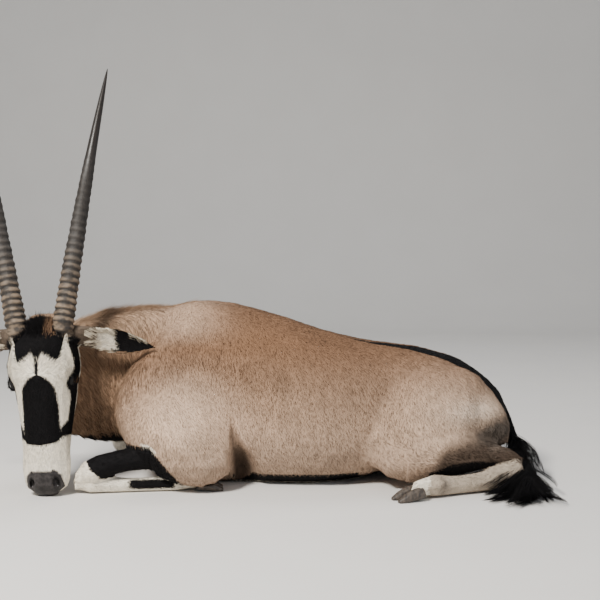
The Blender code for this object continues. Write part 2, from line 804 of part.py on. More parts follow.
def lock_shape(root, heading, sag, sizes, out, scale=1.0, steps=4):
    """One flat tapered lock of hair: it leaves its root along heading and bends towards sag."""
    length, width, thick = sizes
    length *= scale
    heading = Vector(heading).normalized()
    across = heading.cross(Vector(out)).normalized()
    over = across.cross(heading)
    rings = []
    for i in range(steps):
        share = i / steps
        centre = Vector(root) + heading * length * share + Vector(sag) * share * share
        wide = across * width * (0.72 + 0.5 * share - 1.05 * share * share)
        flat = over * thick * (1 - 0.55 * share)
        rings.append([centre + wide, centre + flat, centre - wide, centre - flat])
    tip = Vector(root) + heading * length + Vector(sag)
    return loft(rings, None, tip)


def make_tail():
    """The dock of the tail from the croup to the floor."""
    return helper_object(sweep(TAIL_CORE[:5], 12, 12, end_round=0.4), "tail")


def make_tuft():
    """The long black tassel: a core along the end of the tail, and locks that fall round it to the floor."""
    rng = random.Random(7)
    rows = [TAIL_CORE[3], *TAIL_CORE[4:]]
    core = helper_object(sweep(rows, 9, 9, end_round=0.8), "tuft")
    path = eased(rows, TUFT_LOCKS)
    locks = []
    for i in range(TUFT_LOCKS):
        share = i / (TUFT_LOCKS - 1)
        here = Vector(path[i][:3])
        ahead = Vector(path[min(i + 1, TUFT_LOCKS - 1)][:3]) - Vector(path[max(i - 1, 0)][:3])
        ahead.normalize()
        turn = GOLDEN_TURN * i + rng.uniform(-0.3, 0.3)
        side = ahead.cross(Vector((0, 0, 1))).normalized()
        over = side.cross(ahead)
        out = side * math.cos(turn) + over * max(-0.15, math.sin(turn))
        size = 0.72 + 0.34 * share + rng.uniform(-0.08, 0.08)
        heading = ahead * 0.84 + out * 0.48
        sag = Vector((rng.uniform(-0.012, 0.012), -0.035, -0.05 - 0.05 * rng.random()))
        locks.append(helper_object(lock_shape(here, heading, sag, TUFT_LOCK, out, size), "lock"))
    join_all(core, locks)
    return set_on_floor(core)


def crest_point(share):
    """A point on the crest line of the neck, its direction and the way out of the neck."""
    table = eased(NECK, 41)
    index = MANE_PLACES[0] + share * MANE_PLACES[1]
    low = int(index)
    row = table[low] + (table[low + 1] - table[low]) * (index - low)
    ahead = Vector(table[low + 1][:3] - table[low][:3]).normalized()
    side = ahead.cross(Vector((0, 0, 1))).normalized()
    over = side.cross(ahead)
    return Vector(row[:3]) + over * row[4], ahead, over


def add_mane(neck):
    """Fuses the short upright mane along the crest of the neck."""
    rng = random.Random(11)
    locks = []
    for i in range(MANE_LOCKS):
        share = i / (MANE_LOCKS - 1)
        top, ahead, over = crest_point(share)
        out = ahead.cross(over)
        size = (0.45 + 0.55 * math.sin(math.pi * (0.04 + 0.86 * share))) * rng.uniform(0.9, 1.1)
        root = top - over * 0.012 + out * rng.uniform(-0.004, 0.004)
        heading = over * 0.66 - ahead * 0.75
        locks.append(helper_object(lock_shape(root, heading, -ahead * 0.010, MANE_LOCK, out, size), "lock"))
    return join_all(neck, locks)


def part_body(body):
    """Parts the blended body with thin planar cuts, and returns its pieces by name."""
    place = head_matrix()
    turned = place.to_3x3()
    normal = (turned @ NECK_CUT_NORMAL).normalized()
    point = place @ NECK_CUT
    pieces = {}

    def beyond(offset):
        shape = bmesh.new()
        bmesh.ops.create_cube(shape, size=THROAT_REACH)
        lift = Vector((0, 0, 1)).rotation_difference(-normal).to_matrix().to_4x4()
        centre = point - normal * (THROAT_REACH / 2 + offset)
        shape.transform(Matrix.Translation(centre) @ lift)
        return helper_object(shape, "half_space")

    near_head = beyond(GAP / 2)
    pieces["throat"] = boolean(copy_of(body), near_head, "INTERSECT")
    discard(near_head)
    past_cut = beyond(-GAP / 2)
    rest = boolean(body, past_cut, "DIFFERENCE")
    discard(past_cut)

    pieces["neck"] = boolean(copy_of(rest), box((-2.0, -0.30, -1.0), (NECK_END, 0.30, 2.0)), "INTERSECT")
    boolean(rest, box((-2.0, -0.30, -1.0), (NECK_END + GAP, 0.30, 2.0)), "DIFFERENCE")
    for side, name in ((-1, "left"), (1, "right")):
        for piece, (low, high) in LIMB_BLOCKS.items():
            block = box(low, high, side)
            pieces[f"{piece}_{name}"] = boolean(copy_of(rest), block, "INTERSECT")
        for low, high in LIMB_BLOCKS.values():
            wider = [edge - GAP for edge in low], [edge + GAP for edge in high]
            boolean(rest, box(*wider, side), "DIFFERENCE")
    discard(*[item for item in helpers.objects if item.name.startswith("box")])
    pieces["torso"] = rest
    return pieces


def make_body_and_head(coat, pale):
    """Every node of flesh above the lower legs."""
    pieces = part_body(whole_body())
    throat = pieces.pop("throat")
    head = make_head(throat)
    discard(throat)
    trim(head, pieces["neck"])
    nodes = {"head": finish_node(set_on_floor(head), "head", pale)}
    add_mane(pieces["neck"])
    trim(pieces["neck"], nodes["head"])
    for name, piece in pieces.items():
        nodes[name] = finish_node(piece, name, coat)
    return nodes


def make_face_parts(head, white, horn, eye):
    for side, name in ((1, "left"), (-1, "right")):
        finish_node(make_eye(side), f"eye_{name}", eye)
        horn_node = finish_node(trim(make_horn(side), head), f"horn_{name}", horn)
        finish_node(trim(make_ear(side), head, horn_node), f"ear_{name}", white)


def make_lower_legs(nodes, black, white, hoof):
    for side, name in ((-1, "left"), (1, "right")):
        flip = list if side < 0 else mirrored
        shoulder, shank = nodes[f"shoulder_{name}"], nodes[f"shank_{name}"]
        forearm = trim(make_leg_tube(flip(FOREARM), 12, 12), shoulder, nodes["torso"])
        finish_node(forearm, f"forearm_{name}", black)
        fore = make_leg_tube(flip(FORE_CANNON), 12, 8)
        add_dewclaws(fore, flip(FORE_CANNON))
        trim(fore, forearm, shoulder, nodes["torso"])
        finish_node(fore, f"fore_cannon_{name}", white)
        hind = make_leg_tube(flip(HIND_CANNON), 13, 8)
        add_dewclaws(hind, flip(HIND_CANNON))
        trim(hind, shank, nodes[f"thigh_{name}"])
        finish_node(hind, f"hind_cannon_{name}", white)
        for leg, rows, cannon in (("fore", flip(FORE_CANNON), fore), ("hind", flip(HIND_CANNON), hind)):
            ahead = Vector(rows[-1][:3]) - Vector(rows[-2][:3])
            ahead.z = -0.15 * ahead.length
            root = Vector(rows[-1][:3]) - ahead.normalized() * 0.008
            root.z = 0.019
            for turn, toe in ((1, "a"), (-1, "b")):
                claw = set_on_floor(make_toe(root, ahead, turn))
                trim(claw, cannon, nodes[f"shoulder_{name}"] if leg == "fore" else shank)
                if leg == "fore":
                    trim(claw, nodes["torso"])
                finish_node(claw, f"hoof_{leg}_{name}_{toe}", hoof)


def make_tail_parts(nodes, black):
    tail = trim(make_tail(), nodes["torso"])
    tail = finish_node(tail, "tail", black)
    tuft = trim(make_tuft(), tail, nodes["torso"], nodes["thigh_left"], nodes["shank_left"])
    finish_node(trim(tuft, bpy.data.objects["hind_cannon_left"]), "tail_tuft", black)


def main():
    global model, helpers
    clear_scene()
    model = add_collection("gemsbok")
    helpers = add_collection("helpers")
    helpers.hide_render = True
    coat = coat_material("tan_coat", TAN, 0.8)
    black = coat_material("black_coat", BLACK, 0.7)
    white = coat_material("white_coat", WHITE, 0.8)
    horn = coat_material("horn", HORN_BROWN, 0.45)
    hoof = coat_material("hoof", HOOF_GREY, 0.5)
    eye = coat_material("eye", EYE_BROWN, 0.1)
    nodes = make_body_and_head(coat, white)
    make_face_parts(nodes["head"], white, horn, eye)
    make_lower_legs(nodes, black, white, hoof)
    make_tail_parts(nodes, black)
    for item in model.objects:
        item.data.transform(Matrix.Translation(SHIFT_TO_CENTRE))
    for item in list(helpers.objects):
        discard(item)


main()
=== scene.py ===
import math

import bmesh
import bpy
import numpy as np
from mathutils import Matrix, Vector
from mathutils.bvhtree import BVHTree


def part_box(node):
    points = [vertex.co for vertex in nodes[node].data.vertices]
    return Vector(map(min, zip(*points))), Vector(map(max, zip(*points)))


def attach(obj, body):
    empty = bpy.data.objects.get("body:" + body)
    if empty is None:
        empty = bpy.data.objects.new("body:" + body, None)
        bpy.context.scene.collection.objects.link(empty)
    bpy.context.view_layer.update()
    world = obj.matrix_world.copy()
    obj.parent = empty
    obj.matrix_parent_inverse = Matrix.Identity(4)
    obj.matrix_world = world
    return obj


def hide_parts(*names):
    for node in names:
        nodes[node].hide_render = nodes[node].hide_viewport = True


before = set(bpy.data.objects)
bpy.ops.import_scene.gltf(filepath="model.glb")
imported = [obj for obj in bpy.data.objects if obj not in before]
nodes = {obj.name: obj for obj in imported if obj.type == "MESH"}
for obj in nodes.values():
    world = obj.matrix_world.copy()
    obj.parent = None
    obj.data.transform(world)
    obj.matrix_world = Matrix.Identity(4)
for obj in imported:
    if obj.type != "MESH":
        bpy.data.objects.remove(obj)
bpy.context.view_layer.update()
print("frame loaded:", len(nodes), "solids")


# The head's own frame: x to the muzzle, y to the animal's left, z out of the nose bridge. Its place
# is in metres, and its turns are in degrees.
headPose = {"origin": (-0.5246, -0.2075, 0.304), "tilt": 14.0, "roll": -3.6, "yaw": 2.0}
bothSides = ((1, "left"), (-1, "right"))
outside, inside = -0.05, 0.05  # metres, for a point well outside or well inside a patch


def squareTo(direction, axis):  # the direction, turned square to the axis
    return (direction - axis * direction.dot(axis)).normalized()


tilt, roll, yaw = (math.radians(headPose[name]) for name in ("tilt", "roll", "yaw"))
upwards = Vector((math.sin(roll), math.sin(tilt), 1.0)).normalized()
outwards = squareTo(Vector((-math.sin(yaw), -math.cos(yaw), 0.0)), upwards)
headTurn = Matrix((-upwards, upwards.cross(outwards), outwards)).transposed()
headPlace = Matrix.Translation(headPose["origin"]) @ headTurn.to_4x4()
headAxes = np.array(headTurn)


def toHead(points):
    return (points - np.array(headPose["origin"])) @ headAxes


def fromHead(local):
    return local @ headAxes.T + np.array(headPose["origin"])


def mirrored(point, side):  # a point of the head's frame on the left (1) or the right (-1)
    return (point[0], side * point[1], point[2])


# Small helpers for arrays of points.
def smooth(value, low, high):
    share = np.clip((value - low) / (high - low), 0.0, 1.0)
    return share * share * (3 - 2 * share)


def mixed(first, second, share):
    return first + (second - first) * share[:, None]


def unit(vectors):
    return vectors / np.maximum(np.linalg.norm(vectors, axis=1, keepdims=True), 1e-9)


def latticeNoise(points, size, seed=0.0):  # smooth noise from -1 to 1, one value for each point
    cells = np.asarray(points) / size + seed
    base = np.floor(cells)
    part = cells - base
    ease = part * part * (3 - 2 * part)
    total = np.zeros(len(cells))
    for corner in range(8):
        step = np.array((corner & 1, (corner >> 1) & 1, (corner >> 2) & 1))
        value = np.sin((base + step) @ np.array((127.1, 311.7, 74.7)) + seed) * 43758.5453
        weight = np.prod(np.where(step == 1, ease, 1 - ease), axis=1)
        total += (value - np.floor(value)) * weight
    return 2 * total - 1


def pointsOf(mesh):
    found = np.empty(len(mesh.vertices) * 3)
    mesh.vertices.foreach_get("co", found)
    return found.reshape(-1, 3)


def normalsOf(mesh):
    found = np.empty(len(mesh.vertices) * 3)
    mesh.vertex_normals.foreach_get("vector", found)
    return found.reshape(-1, 3)


def movePoints(mesh, points):
    mesh.vertices.foreach_set("co", np.ascontiguousarray(points, np.float32).ravel())
    mesh.update()


def addPiece(name, mesh):
    piece = bpy.data.objects.new(name, mesh)
    bpy.context.scene.collection.objects.link(piece)
    return piece


def pieceFrom(name, shape):
    mesh = bpy.data.meshes.new(name)
    shape.to_mesh(mesh)
    shape.free()
    return addPiece(name, mesh)


def modified(piece, kind, **settings):  # adds a modifier and applies it
    modifier = piece.modifiers.new(kind, kind)
    for name, value in settings.items():
        setattr(modifier, name, value)
    bpy.context.view_layer.update()
    graph = bpy.context.evaluated_depsgraph_get()
    mesh = bpy.data.meshes.new_from_object(piece.evaluated_get(graph))
    piece.modifiers.clear()
    piece.data = mesh


def addAttribute(mesh, name, values):
    if values.ndim == 2:
        found = mesh.attributes.new(name, "FLOAT_COLOR", "POINT")
        colours = np.concatenate([values, np.ones((len(values), 1))], axis=1)
        found.data.foreach_set("color", np.ascontiguousarray(colours, np.float32).ravel())
    else:
        found = mesh.attributes.new(name, "FLOAT", "POINT")
        found.data.foreach_set("value", np.ascontiguousarray(values, np.float32))


def easedRows(rows, count):  # rows resampled on a smooth curve through them
    points = np.array(rows, float)
    legs = np.linalg.norm(np.diff(points[:, :3], axis=0), axis=1)
    along = np.concatenate([[0.0], np.cumsum(legs)])
    padded = np.vstack([2 * points[0] - points[1], points, 2 * points[-1] - points[-2]])
    wanted = np.linspace(0.0, along[-1], count)
    index = np.clip(np.searchsorted(along, wanted, side="right") - 1, 0, len(legs) - 1)
    t = ((wanted - along[index]) / legs[index])[:, None]
    a, b, c, d = (padded[index + k] for k in range(4))
    square, cube = 2 * a - 5 * b + 4 * c - d, 3 * b - a - 3 * c + d
    return 0.5 * (2 * b + (c - a) * t + square * t**2 + cube * t**3)


def sweepTube(rows, sides, up=(0.0, 0.0, 1.0), closed=False):  # rows of x, y, z, half width, half height
    centres = [Vector(row[:3]) for row in rows]
    ups = up if isinstance(up, list) else [Vector(up)] * len(rows)
    last = len(rows) - 1
    places = []
    for i, row in enumerate(rows):
        before = centres[i - 1] if i or closed else centres[0]
        after = centres[(i + 1) % len(rows)] if i < last or closed else centres[last]
        ahead = (after - before).normalized()
        side = ahead.cross(ups[i]).normalized()
        basis = Matrix((side, side.cross(ahead), ahead)).transposed().to_4x4()
        size = Matrix.Diagonal((row[3], row[4], 1.0, 1.0))
        places.append(Matrix.Translation(centres[i]) @ basis @ size)
    shape = bmesh.new()
    ring = bmesh.ops.create_circle(shape, segments=sides, radius=1.0)["verts"]
    edges = list(shape.edges)
    firstEdges = edges
    bmesh.ops.transform(shape, matrix=places[0], verts=ring)
    for before, after in zip(places, places[1:]):
        grown = bmesh.ops.extrude_edge_only(shape, edges=edges)["geom"]
        ring = [item for item in grown if isinstance(item, bmesh.types.BMVert)]
        edges = [item for item in grown if isinstance(item, bmesh.types.BMEdge)]
        bmesh.ops.transform(shape, matrix=after @ before.inverted(), verts=ring)
    if closed:
        bmesh.ops.bridge_loops(shape, edges=edges + firstEdges)
    else:
        bmesh.ops.holes_fill(shape, edges=shape.edges, sides=0)
    bmesh.ops.recalc_face_normals(shape, faces=shape.faces)
    return shape


# Sockets and nodes of the materials.
class Wire:
    def __init__(self, paint, socket):
        self.paint = paint
        self.socket = socket

    def worked(self, operation, first, second):
        return self.paint.make("ShaderNodeMath", {"operation": operation}, {0: first, 1: second})

    def __add__(self, other):
        return self.worked("ADD", self, other)

    def __sub__(self, other):
        return self.worked("SUBTRACT", self, other)

    def __mul__(self, other):
        return self.worked("MULTIPLY", self, other)

    def __truediv__(self, other):
        return self.worked("DIVIDE", self, other)

    def __pow__(self, other):
        return self.worked("POWER", self, other)

    def __radd__(self, other):
        return self.worked("ADD", other, self)

    def __rsub__(self, other):
        return self.worked("SUBTRACT", other, self)

    def __rmul__(self, other):
        return self.worked("MULTIPLY", other, self)

    def __rtruediv__(self, other):
        return self.worked("DIVIDE", other, self)

    def __rpow__(self, other):
        return self.worked("POWER", other, self)

    def between(self, low, high, first=0.0, last=1.0):  # eased from first at low to last at high
        settings = {"interpolation_type": "SMOOTHSTEP"}
        ends = {"Value": self, "From Min": low, "From Max": high, "To Min": first, "To Max": last}
        return self.paint.make("ShaderNodeMapRange", settings, ends)


class Paint:
    def __init__(self, name, colour, roughness):
        self.material = bpy.data.materials.new(name)
        self.material.use_nodes = True
        self.material.diffuse_color = (*colour, 1.0)
        self.tree = self.material.node_tree
        self.shader = self.tree.nodes["Principled BSDF"]
        self.feed(Roughness=roughness)
        self.shader.inputs["Base Color"].default_value = (*colour, 1.0)

    def make(self, kind, settings=None, inputs=None, output=0):
        node = self.tree.nodes.new(kind)
        for name, value in (settings or {}).items():
            setattr(node, name, value)
        for name, value in (inputs or {}).items():
            self.connect(node.inputs[name], value)
        return Wire(self, node.outputs[output])

    def connect(self, socket, value):
        if isinstance(value, Wire):
            self.tree.links.new(value.socket, socket)
        elif isinstance(value, tuple) and len(value) == 3 and socket.type == "RGBA":
            socket.default_value = (*value, 1.0)
        else:
            socket.default_value = value

    def feed(self, **inputs):
        for name, value in inputs.items():
            self.connect(self.shader.inputs[name.replace("_", " ")], value)

    def mix(self, share, first, second, blend="MIX"):
        settings = {"data_type": "RGBA", "blend_type": blend}
        return self.make("ShaderNodeMix", settings, {0: share, 6: first, 7: second}, output=2)

    def attribute(self, name, output="Fac"):
        return self.make("ShaderNodeAttribute", {"attribute_name": name}, output=output)

    def noise(self, scale, detail=2.0, roughness=0.5):  # cells per metre along x, y and z
        point = self.make("ShaderNodeTexCoord", output="Object")
        point = self.make("ShaderNodeMapping", {}, {"Vector": point, "Scale": scale})
        ends = {"Vector": point, "Scale": 1.0, "Detail": detail, "Roughness": roughness}
        return self.make("ShaderNodeTexNoise", {}, ends)

    def bump(self, height, distance, strength):
        ends = {"Height": height, "Distance": distance, "Strength": strength}
        return self.make("ShaderNodeBump", {}, ends)


# The skin: one closed surface in place of all the flesh solids.
skinSet = {
    "voxel": 0.0028,
    "closeGaps": 0.0007,  # how far each solid swells so that the cuts between them close
    "bodyInset": 0.0040,  # the coat's depth on the body
    "headInset": 0.0014,
    "legInset": 0.0016,
    "earInset": 0.0004,
    "rounds": {"all": 3, "rough": 24, "soft": 90},  # rounds of smoothing, by group of points
    "ribs": 0.0009,  # heights of the ribs, the folds of the neck and the unevenness, in metres
    "neckFolds": 0.0016,
    "swells": 0.0022,
    "ripples": 0.0008,
    "philtrum": 0.0016,
    "elbowRecess": 0.062,
    "floorGap": 0.0006,
    "triangles": 186000,
}
fleshNames = sorted(name for name in nodes if not name.startswith(("eye", "horn", "hoof", "tail_tuft")))
tailRows = [  # x, y, z, half width and half height of the tail's core, in metres
    (0.7574, 0.0215, 0.105, 0.018, 0.018),
    (0.7694, -0.0225, 0.062, 0.019, 0.018),
    (0.7654, -0.1025, 0.040, 0.015, 0.015),
    (0.7574, -0.1875, 0.030, 0.012, 0.012),
    (0.7474, -0.2525, 0.022, 0.007, 0.007),
]


def swollenCopy(name):
    shape = bmesh.new()
    shape.from_mesh(nodes[name].data)
    bmesh.ops.remove_doubles(shape, verts=shape.verts, dist=1e-5)
    shape.normal_update()
    for vertex in shape.verts:
        vertex.co += vertex.normal * skinSet["closeGaps"]
    return shape


def makeSkin():
    whole = bmesh.new()
    partMesh = bpy.data.meshes.new("flesh")
    faceParts = []
    for index, name in enumerate(fleshNames):
        shape = swollenCopy(name)
        shape.to_mesh(partMesh)
        shape.free()
        whole.from_mesh(partMesh)
        faceParts += [index] * (len(whole.faces) - len(faceParts))
    tree = BVHTree.FromBMesh(whole)
    core = sweepTube(easedRows(tailRows, 24).tolist(), 16)
    core.to_mesh(partMesh)
    core.free()
    whole.from_mesh(partMesh)
    skin = pieceFrom("skin", whole)
    modified(skin, "REMESH", mode="VOXEL", voxel_size=skinSet["voxel"])
    return skin, tree, faceParts


def partsAt(points, tree, faceParts):  # index of the nearest flesh solid for each point
    return np.array([faceParts[tree.find_nearest(Vector(point))[2]] for point in points])


skin, fleshTree, faceParts = makeSkin()
print("skin remeshed:", len(skin.data.vertices), "points")


def nodeMask(parts, *starts):
    wanted = [index for index, name in enumerate(fleshNames) if name.startswith(starts)]
    return np.isin(parts, wanted)


def inBox(points, name, margin):
    low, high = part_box(name)
    return ((points > np.array(low) - margin) & (points < np.array(high) + margin)).all(axis=1)


def hump(local, centre, radii):
    return np.exp(-(((local - np.array(centre)) / np.array(radii)) ** 2).sum(axis=1))


# Humps and hollows of the face: centre in the head's frame (y is mirrored), radii, height in metres.
faceForms = [
    ((-0.010, 0.066, 0.030), (0.030, 0.016, 0.014), 0.0040),  # brow over the eye
    ((-0.058, 0.082, -0.006), (0.022, 0.020, 0.024), -0.0045),  # temple
    ((0.040, 0.074, -0.002), (0.020, 0.014, 0.012), -0.0030),  # hollow before the eye
    ((0.045, 0.076, -0.032), (0.034, 0.016, 0.008), 0.0028),  # cheek bone
    ((0.100, 0.068, -0.032), (0.030, 0.016, 0.008), 0.0022),
    ((0.055, 0.066, -0.088), (0.042, 0.022, 0.030), 0.0040),  # jaw muscle
    ((0.110, 0.046, 0.022), (0.060, 0.007, 0.014), -0.0018),  # furrow beside the nose bridge
    ((0.262, 0.046, 0.006), (0.016, 0.010, 0.014), 0.0026),  # wing of the nostril
    ((0.262, 0.020, 0.022), (0.014, 0.009, 0.010), 0.0018),
    ((0.225, 0.058, -0.020), (0.026, 0.012, 0.016), 0.0024),  # upper lip
    ((0.274, 0.034, 0.012), (0.010, 0.006, 0.012), -0.0060),  # nostril
    ((0.258, 0.034, 0.014), (0.006, 0.012, 0.012), 0.0026),  # its upper rim
    ((0.278, 0.020, 0.012), (0.012, 0.005, 0.012), 0.0022),
]


def easeShoulder(points, body):  # one even surface from the shoulder to the ribs, by a fitted polynomial
    for side in (1, -1):
        x, y, z = points.T
        near = body & (y * side > 0.11)
        near = near & (x > -0.24) & (x < 0.13) & (z > 0.075) & (z < 0.36)
        u, v = (x[near] + 0.055) / 0.185, (z[near] - 0.2175) / 0.1425
        terms = np.stack([u**i * v**j for i in range(5) for j in range(5 - i)], axis=1)
        fit = terms @ np.linalg.lstsq(terms, y[near], rcond=None)[0]
        share = smooth((1 - u**2) * (1 - v**2), 0.0, 0.55)
        points[near, 1] += (fit - y[near]) * share


def roundMuzzle(points, headLike):  # draws the corners of the muzzle in towards its middle line
    local = toHead(points)
    x, y, z = local.T
    end = smooth(x, 0.225, 0.305) * headLike
    square = np.abs(y / 0.062) ** 2 * np.maximum(0.0, (z + 0.025) / 0.055) ** 2
    tip = smooth(x, 0.262, 0.306) * headLike * 0.16 * np.abs(y / 0.05)
    pull = end * np.clip(square * 0.9, 0, 0.30) + tip
    local[:, 1] = y * (1 - pull * 0.85)
    local[:, 2] = -0.025 + (z + 0.025) * (1 - pull * 0.45)
    return fromHead(local)


# Forms of the trunk: centre as x, z; radii; height in metres.
bodyForms = [
    ((0.385, 0.150), (0.040, 0.110), -0.0165),  # hollow of the flank
    ((0.535, 0.170), (0.075, 0.060), 0.0040),  # haunch
    ((0.470, 0.275), (0.035, 0.030), 0.0035),  # point of the hip
    ((-0.005, 0.250), (0.035, 0.080), -0.0050),  # behind the shoulder
    ((-0.175, 0.215), (0.040, 0.045), 0.0030),
    ((0.230, 0.100), (0.090, 0.070), 0.0040),  # belly
]


def groupPoints(name, chosen):  # a vertex group of the skin, for the chosen points
    skin.vertex_groups.new(name=name).add(np.nonzero(chosen)[0].tolist(), 1.0, "REPLACE")


def sculptSkin():
    rounds = skinSet["rounds"]
    modified(skin, "SMOOTH", factor=0.5, iterations=rounds["all"])
    points = pointsOf(skin.data)
    local = toHead(points)
    headLike = inBox(points, "head", 0.004)
    earLike = inBox(points, "ear_left", 0.004) | inBox(points, "ear_right", 0.004)
    legLike = np.zeros(len(points), bool)
    for limb in ("forearm", "fore_cannon", "hind_cannon"):
        for side in ("left", "right"):
            legLike |= inBox(points, f"{limb}_{side}", 0.003) & (points[:, 2] < 0.115)
    body = ~(headLike | earLike | legLike)
    groupPoints("rough", body)
    modified(skin, "SMOOTH", factor=0.5, iterations=rounds["rough"], vertex_group="rough")
    across = (points[:, (0, 2)] - np.array((-0.11, 0.20))) / np.array((0.14, 0.10))
    crease = np.linalg.norm(across, axis=1) < 1  # between the shoulder and the ribs
    groupPoints("soft", crease & body & (points[:, 2] > 0.12))
    modified(skin, "SMOOTH", factor=0.5, iterations=rounds["soft"], vertex_group="soft")
    mesh = skin.data
    points = pointsOf(mesh)
    normals = normalsOf(mesh)
    inset = np.where(headLike, skinSet["headInset"], skinSet["bodyInset"])
    inset = np.where(legLike, skinSet["legInset"], inset)
    inset = np.where(earLike, skinSet["earInset"], inset) + skinSet["closeGaps"]
    rise = -inset
    face = smooth(local[:, 2], -0.16, -0.10) * headLike
    for centre, radii, height in faceForms:
        for side in (1, -1):
            rise = rise + height * hump(local, mirrored(centre, side), radii) * face
    groove = hump(local, (0.288, 0.0, 0.004), (0.020, 0.003, 0.030))
    rise = rise - skinSet["philtrum"] * groove * face
    x, y, z = points.T
    for centre, radii, height in bodyForms:
        away = ((x - centre[0]) / radii[0]) ** 2 + ((z - centre[1]) / radii[1]) ** 2
        rise = rise + height * np.exp(-away) * body * smooth(np.abs(y), 0.05, 0.11)
    ribs = smooth(x, 0.0, 0.06) * smooth(-x, -0.34, -0.26)
    ribs = ribs * smooth(z, 0.05, 0.14) * smooth(-z, -0.33, -0.24)
    rise = rise + skinSet["ribs"] * ribs * body * np.sin((x + 0.18 * z) / 0.0062)
    neckFold = smooth(-x, 0.30, 0.36) * smooth(-x, 0.56, 0.50)
    neckFold = neckFold * smooth(z, 0.06, 0.14) * smooth(z, 0.44, 0.34)
    wave = np.sin((x + 0.10 * (z - 0.25) + 0.35 * y) / 0.0052 + 1.6 * latticeNoise(points, 0.05, 3.0))
    rise = rise + body * neckFold * skinSet["neckFolds"] * wave
    rise = rise + body * skinSet["swells"] * latticeNoise(points, 0.06, 7.0)
    ripples = latticeNoise(points * np.array((2.2, 1.0, 0.7)), 0.020, 9.0)
    rise = rise + body * skinSet["ripples"] * ripples
    points = points + normals * rise[:, None]
    points = roundMuzzle(points, headLike)
    easeShoulder(points, body)
    x, y, z = points.T
    # The recess behind each elbow.
    low = smooth(0.200 - z, 0.0, 0.19)
    across = (x + 0.036) / (0.016 + 0.066 * low)
    recess = smooth(across, -0.04, 0.22) * (1 - smooth(across, 0.34, 1.15)) * low**0.7
    recess = recess * (np.abs(y) > 0.09) * body
    push = np.sign(y) * skinSet["elbowRecess"] * recess * smooth(np.abs(y), 0.09, 0.16)
    points[:, 1] -= push
    points[:, 2] = np.maximum(points[:, 2], skinSet["floorGap"])
    movePoints(mesh, points)
    groupPoints("coarse", ~(headLike | earLike))
    ratio = skinSet["triangles"] / (2 * len(mesh.polygons))
    modified(skin, "DECIMATE", ratio=ratio, vertex_group="coarse", vertex_group_factor=4.0)
    for group in list(skin.vertex_groups):
        skin.vertex_groups.remove(group)


sculptSkin()
skinPoints = pointsOf(skin.data)
skinParts = partsAt(skinPoints, fleshTree, faceParts)
print("skin sculpted:", len(skin.data.polygons), "faces")


def unwrapSkin():
    bpy.context.view_layer.objects.active = skin
    skin.select_set(True)
    bpy.ops.object.mode_set(mode="EDIT")
    bpy.ops.mesh.select_all(action="SELECT")
    bpy.ops.uv.smart_project(angle_limit=math.radians(66), island_margin=0.002)
    bpy.ops.object.mode_set(mode="OBJECT")
    skin.data.uv_layers[0].name = "OFBake"


skin.data.shade_smooth()
unwrapSkin()

# Markings, as distances in metres to the edge of each patch: more than 0 is inside.
coatTones = {
    "back": (0.185, 0.102, 0.058),
    "flank": (0.400, 0.275, 0.192),
    "low": (0.370, 0.262, 0.190),
    # painted sunlight: a paler tone for pools of light on the shoulder, the haunch and the withers
    "paintedSunlight": (0.660, 0.480, 0.350),
    # the neck's brown, darkened as painted shade
    "neck": (0.225, 0.140, 0.086),
    # paler tan along the top of the neck: partly the coat's own tan and partly painted sunlight
    "crest": (0.440, 0.300, 0.200),
    "hindLeg": (0.44, 0.365, 0.285),
    # painted shadow of the horn over the root of each ear
    "earShadow": (0.125, 0.095, 0.072),
    # painted shade low on the rear of the rump
    "rumpShade": (0.050, 0.045, 0.040),
    "rumpPale": (0.68, 0.55, 0.44),
    "brown": (0.055, 0.038, 0.028),
    # mottles on the hind cannon, with painted shade towards its bottom
    "greyAndShade": (0.17, 0.14, 0.115),
}
earSet = {
    "root": (-0.112, 0.064, -0.010),
    "length": 0.232,
    "halfWidth": 0.040,
    "opening": (0.62, 0.0, 0.78),
    "droop": {1: 0.19, -1: 0.06},  # how far the left and the right ear hang forwards
}
earWidths = (  # along the ear from its root, and the share of the full width there
    (-0.10, 0.06, 0.25, 0.44, 0.56, 0.72, 0.87, 0.98),
    (0.50, 0.72, 0.84, 0.92, 1.0, 0.82, 0.46, 0.12),
)
# Edges of the patches: a measure along the head or the body, and where the edge lies there.
headEdges = {
    "crown": ((0, 0.012, 0.020, 0.028, 0.044, 0.054, 0.062, 0.068),
              (-0.055, -0.054, -0.046, -0.038, -0.030, -0.040, -0.070, -0.110)),
    "blaze": ((-0.002, 0.006, 0.027, 0.053, 0.098, 0.138, 0.164, 0.173, 0.177, 0.179),
              (-0.004, 0.024, 0.041, 0.046, 0.0475, 0.048, 0.046, 0.036, 0.014, -0.004)),
    "stripeTop": ((-0.10, -0.047, -0.012, 0.053, 0.110, 0.128, 0.15),
                  (0.026, 0.020, 0.018, -0.008, -0.006, 0.010, 0.022)),
    "stripeFoot": ((-0.10, -0.03, 0.05, 0.11, 0.16), (-0.014, -0.036, -0.058, -0.070, -0.074)),
    "stripeEnd": ((-0.07, -0.03, 0.006, 0.025), (0.136, 0.150, 0.157, 0.172)),
    "jaw": ((-0.08, 0.0, 0.06, 0.10), (-0.074, -0.106, -0.122, -0.132)),
}
bodyEdges = {
    "dorsal": ((-0.36, -0.26, 0.20, 0.32, 0.40, 0.46, 0.60, 0.70, 0.76),
               (-0.006, -0.006, -0.003, 0.007, 0.018, 0.028, 0.048, 0.050, 0.046)),
    "ridge": ((0.0, 0.5, 0.66, 0.74), (0.30, 0.26, 0.16, 0.05)),
    "thigh": ((0.46, 0.49, 0.53, 0.586, 0.63, 0.70, 0.74),
              (0.010, 0.056, 0.074, 0.084, 0.084, 0.074, 0.05)),
    "dusk": ((0.46, 0.53, 0.60, 0.70), (0.035, 0.094, 0.114, 0.100)),
}


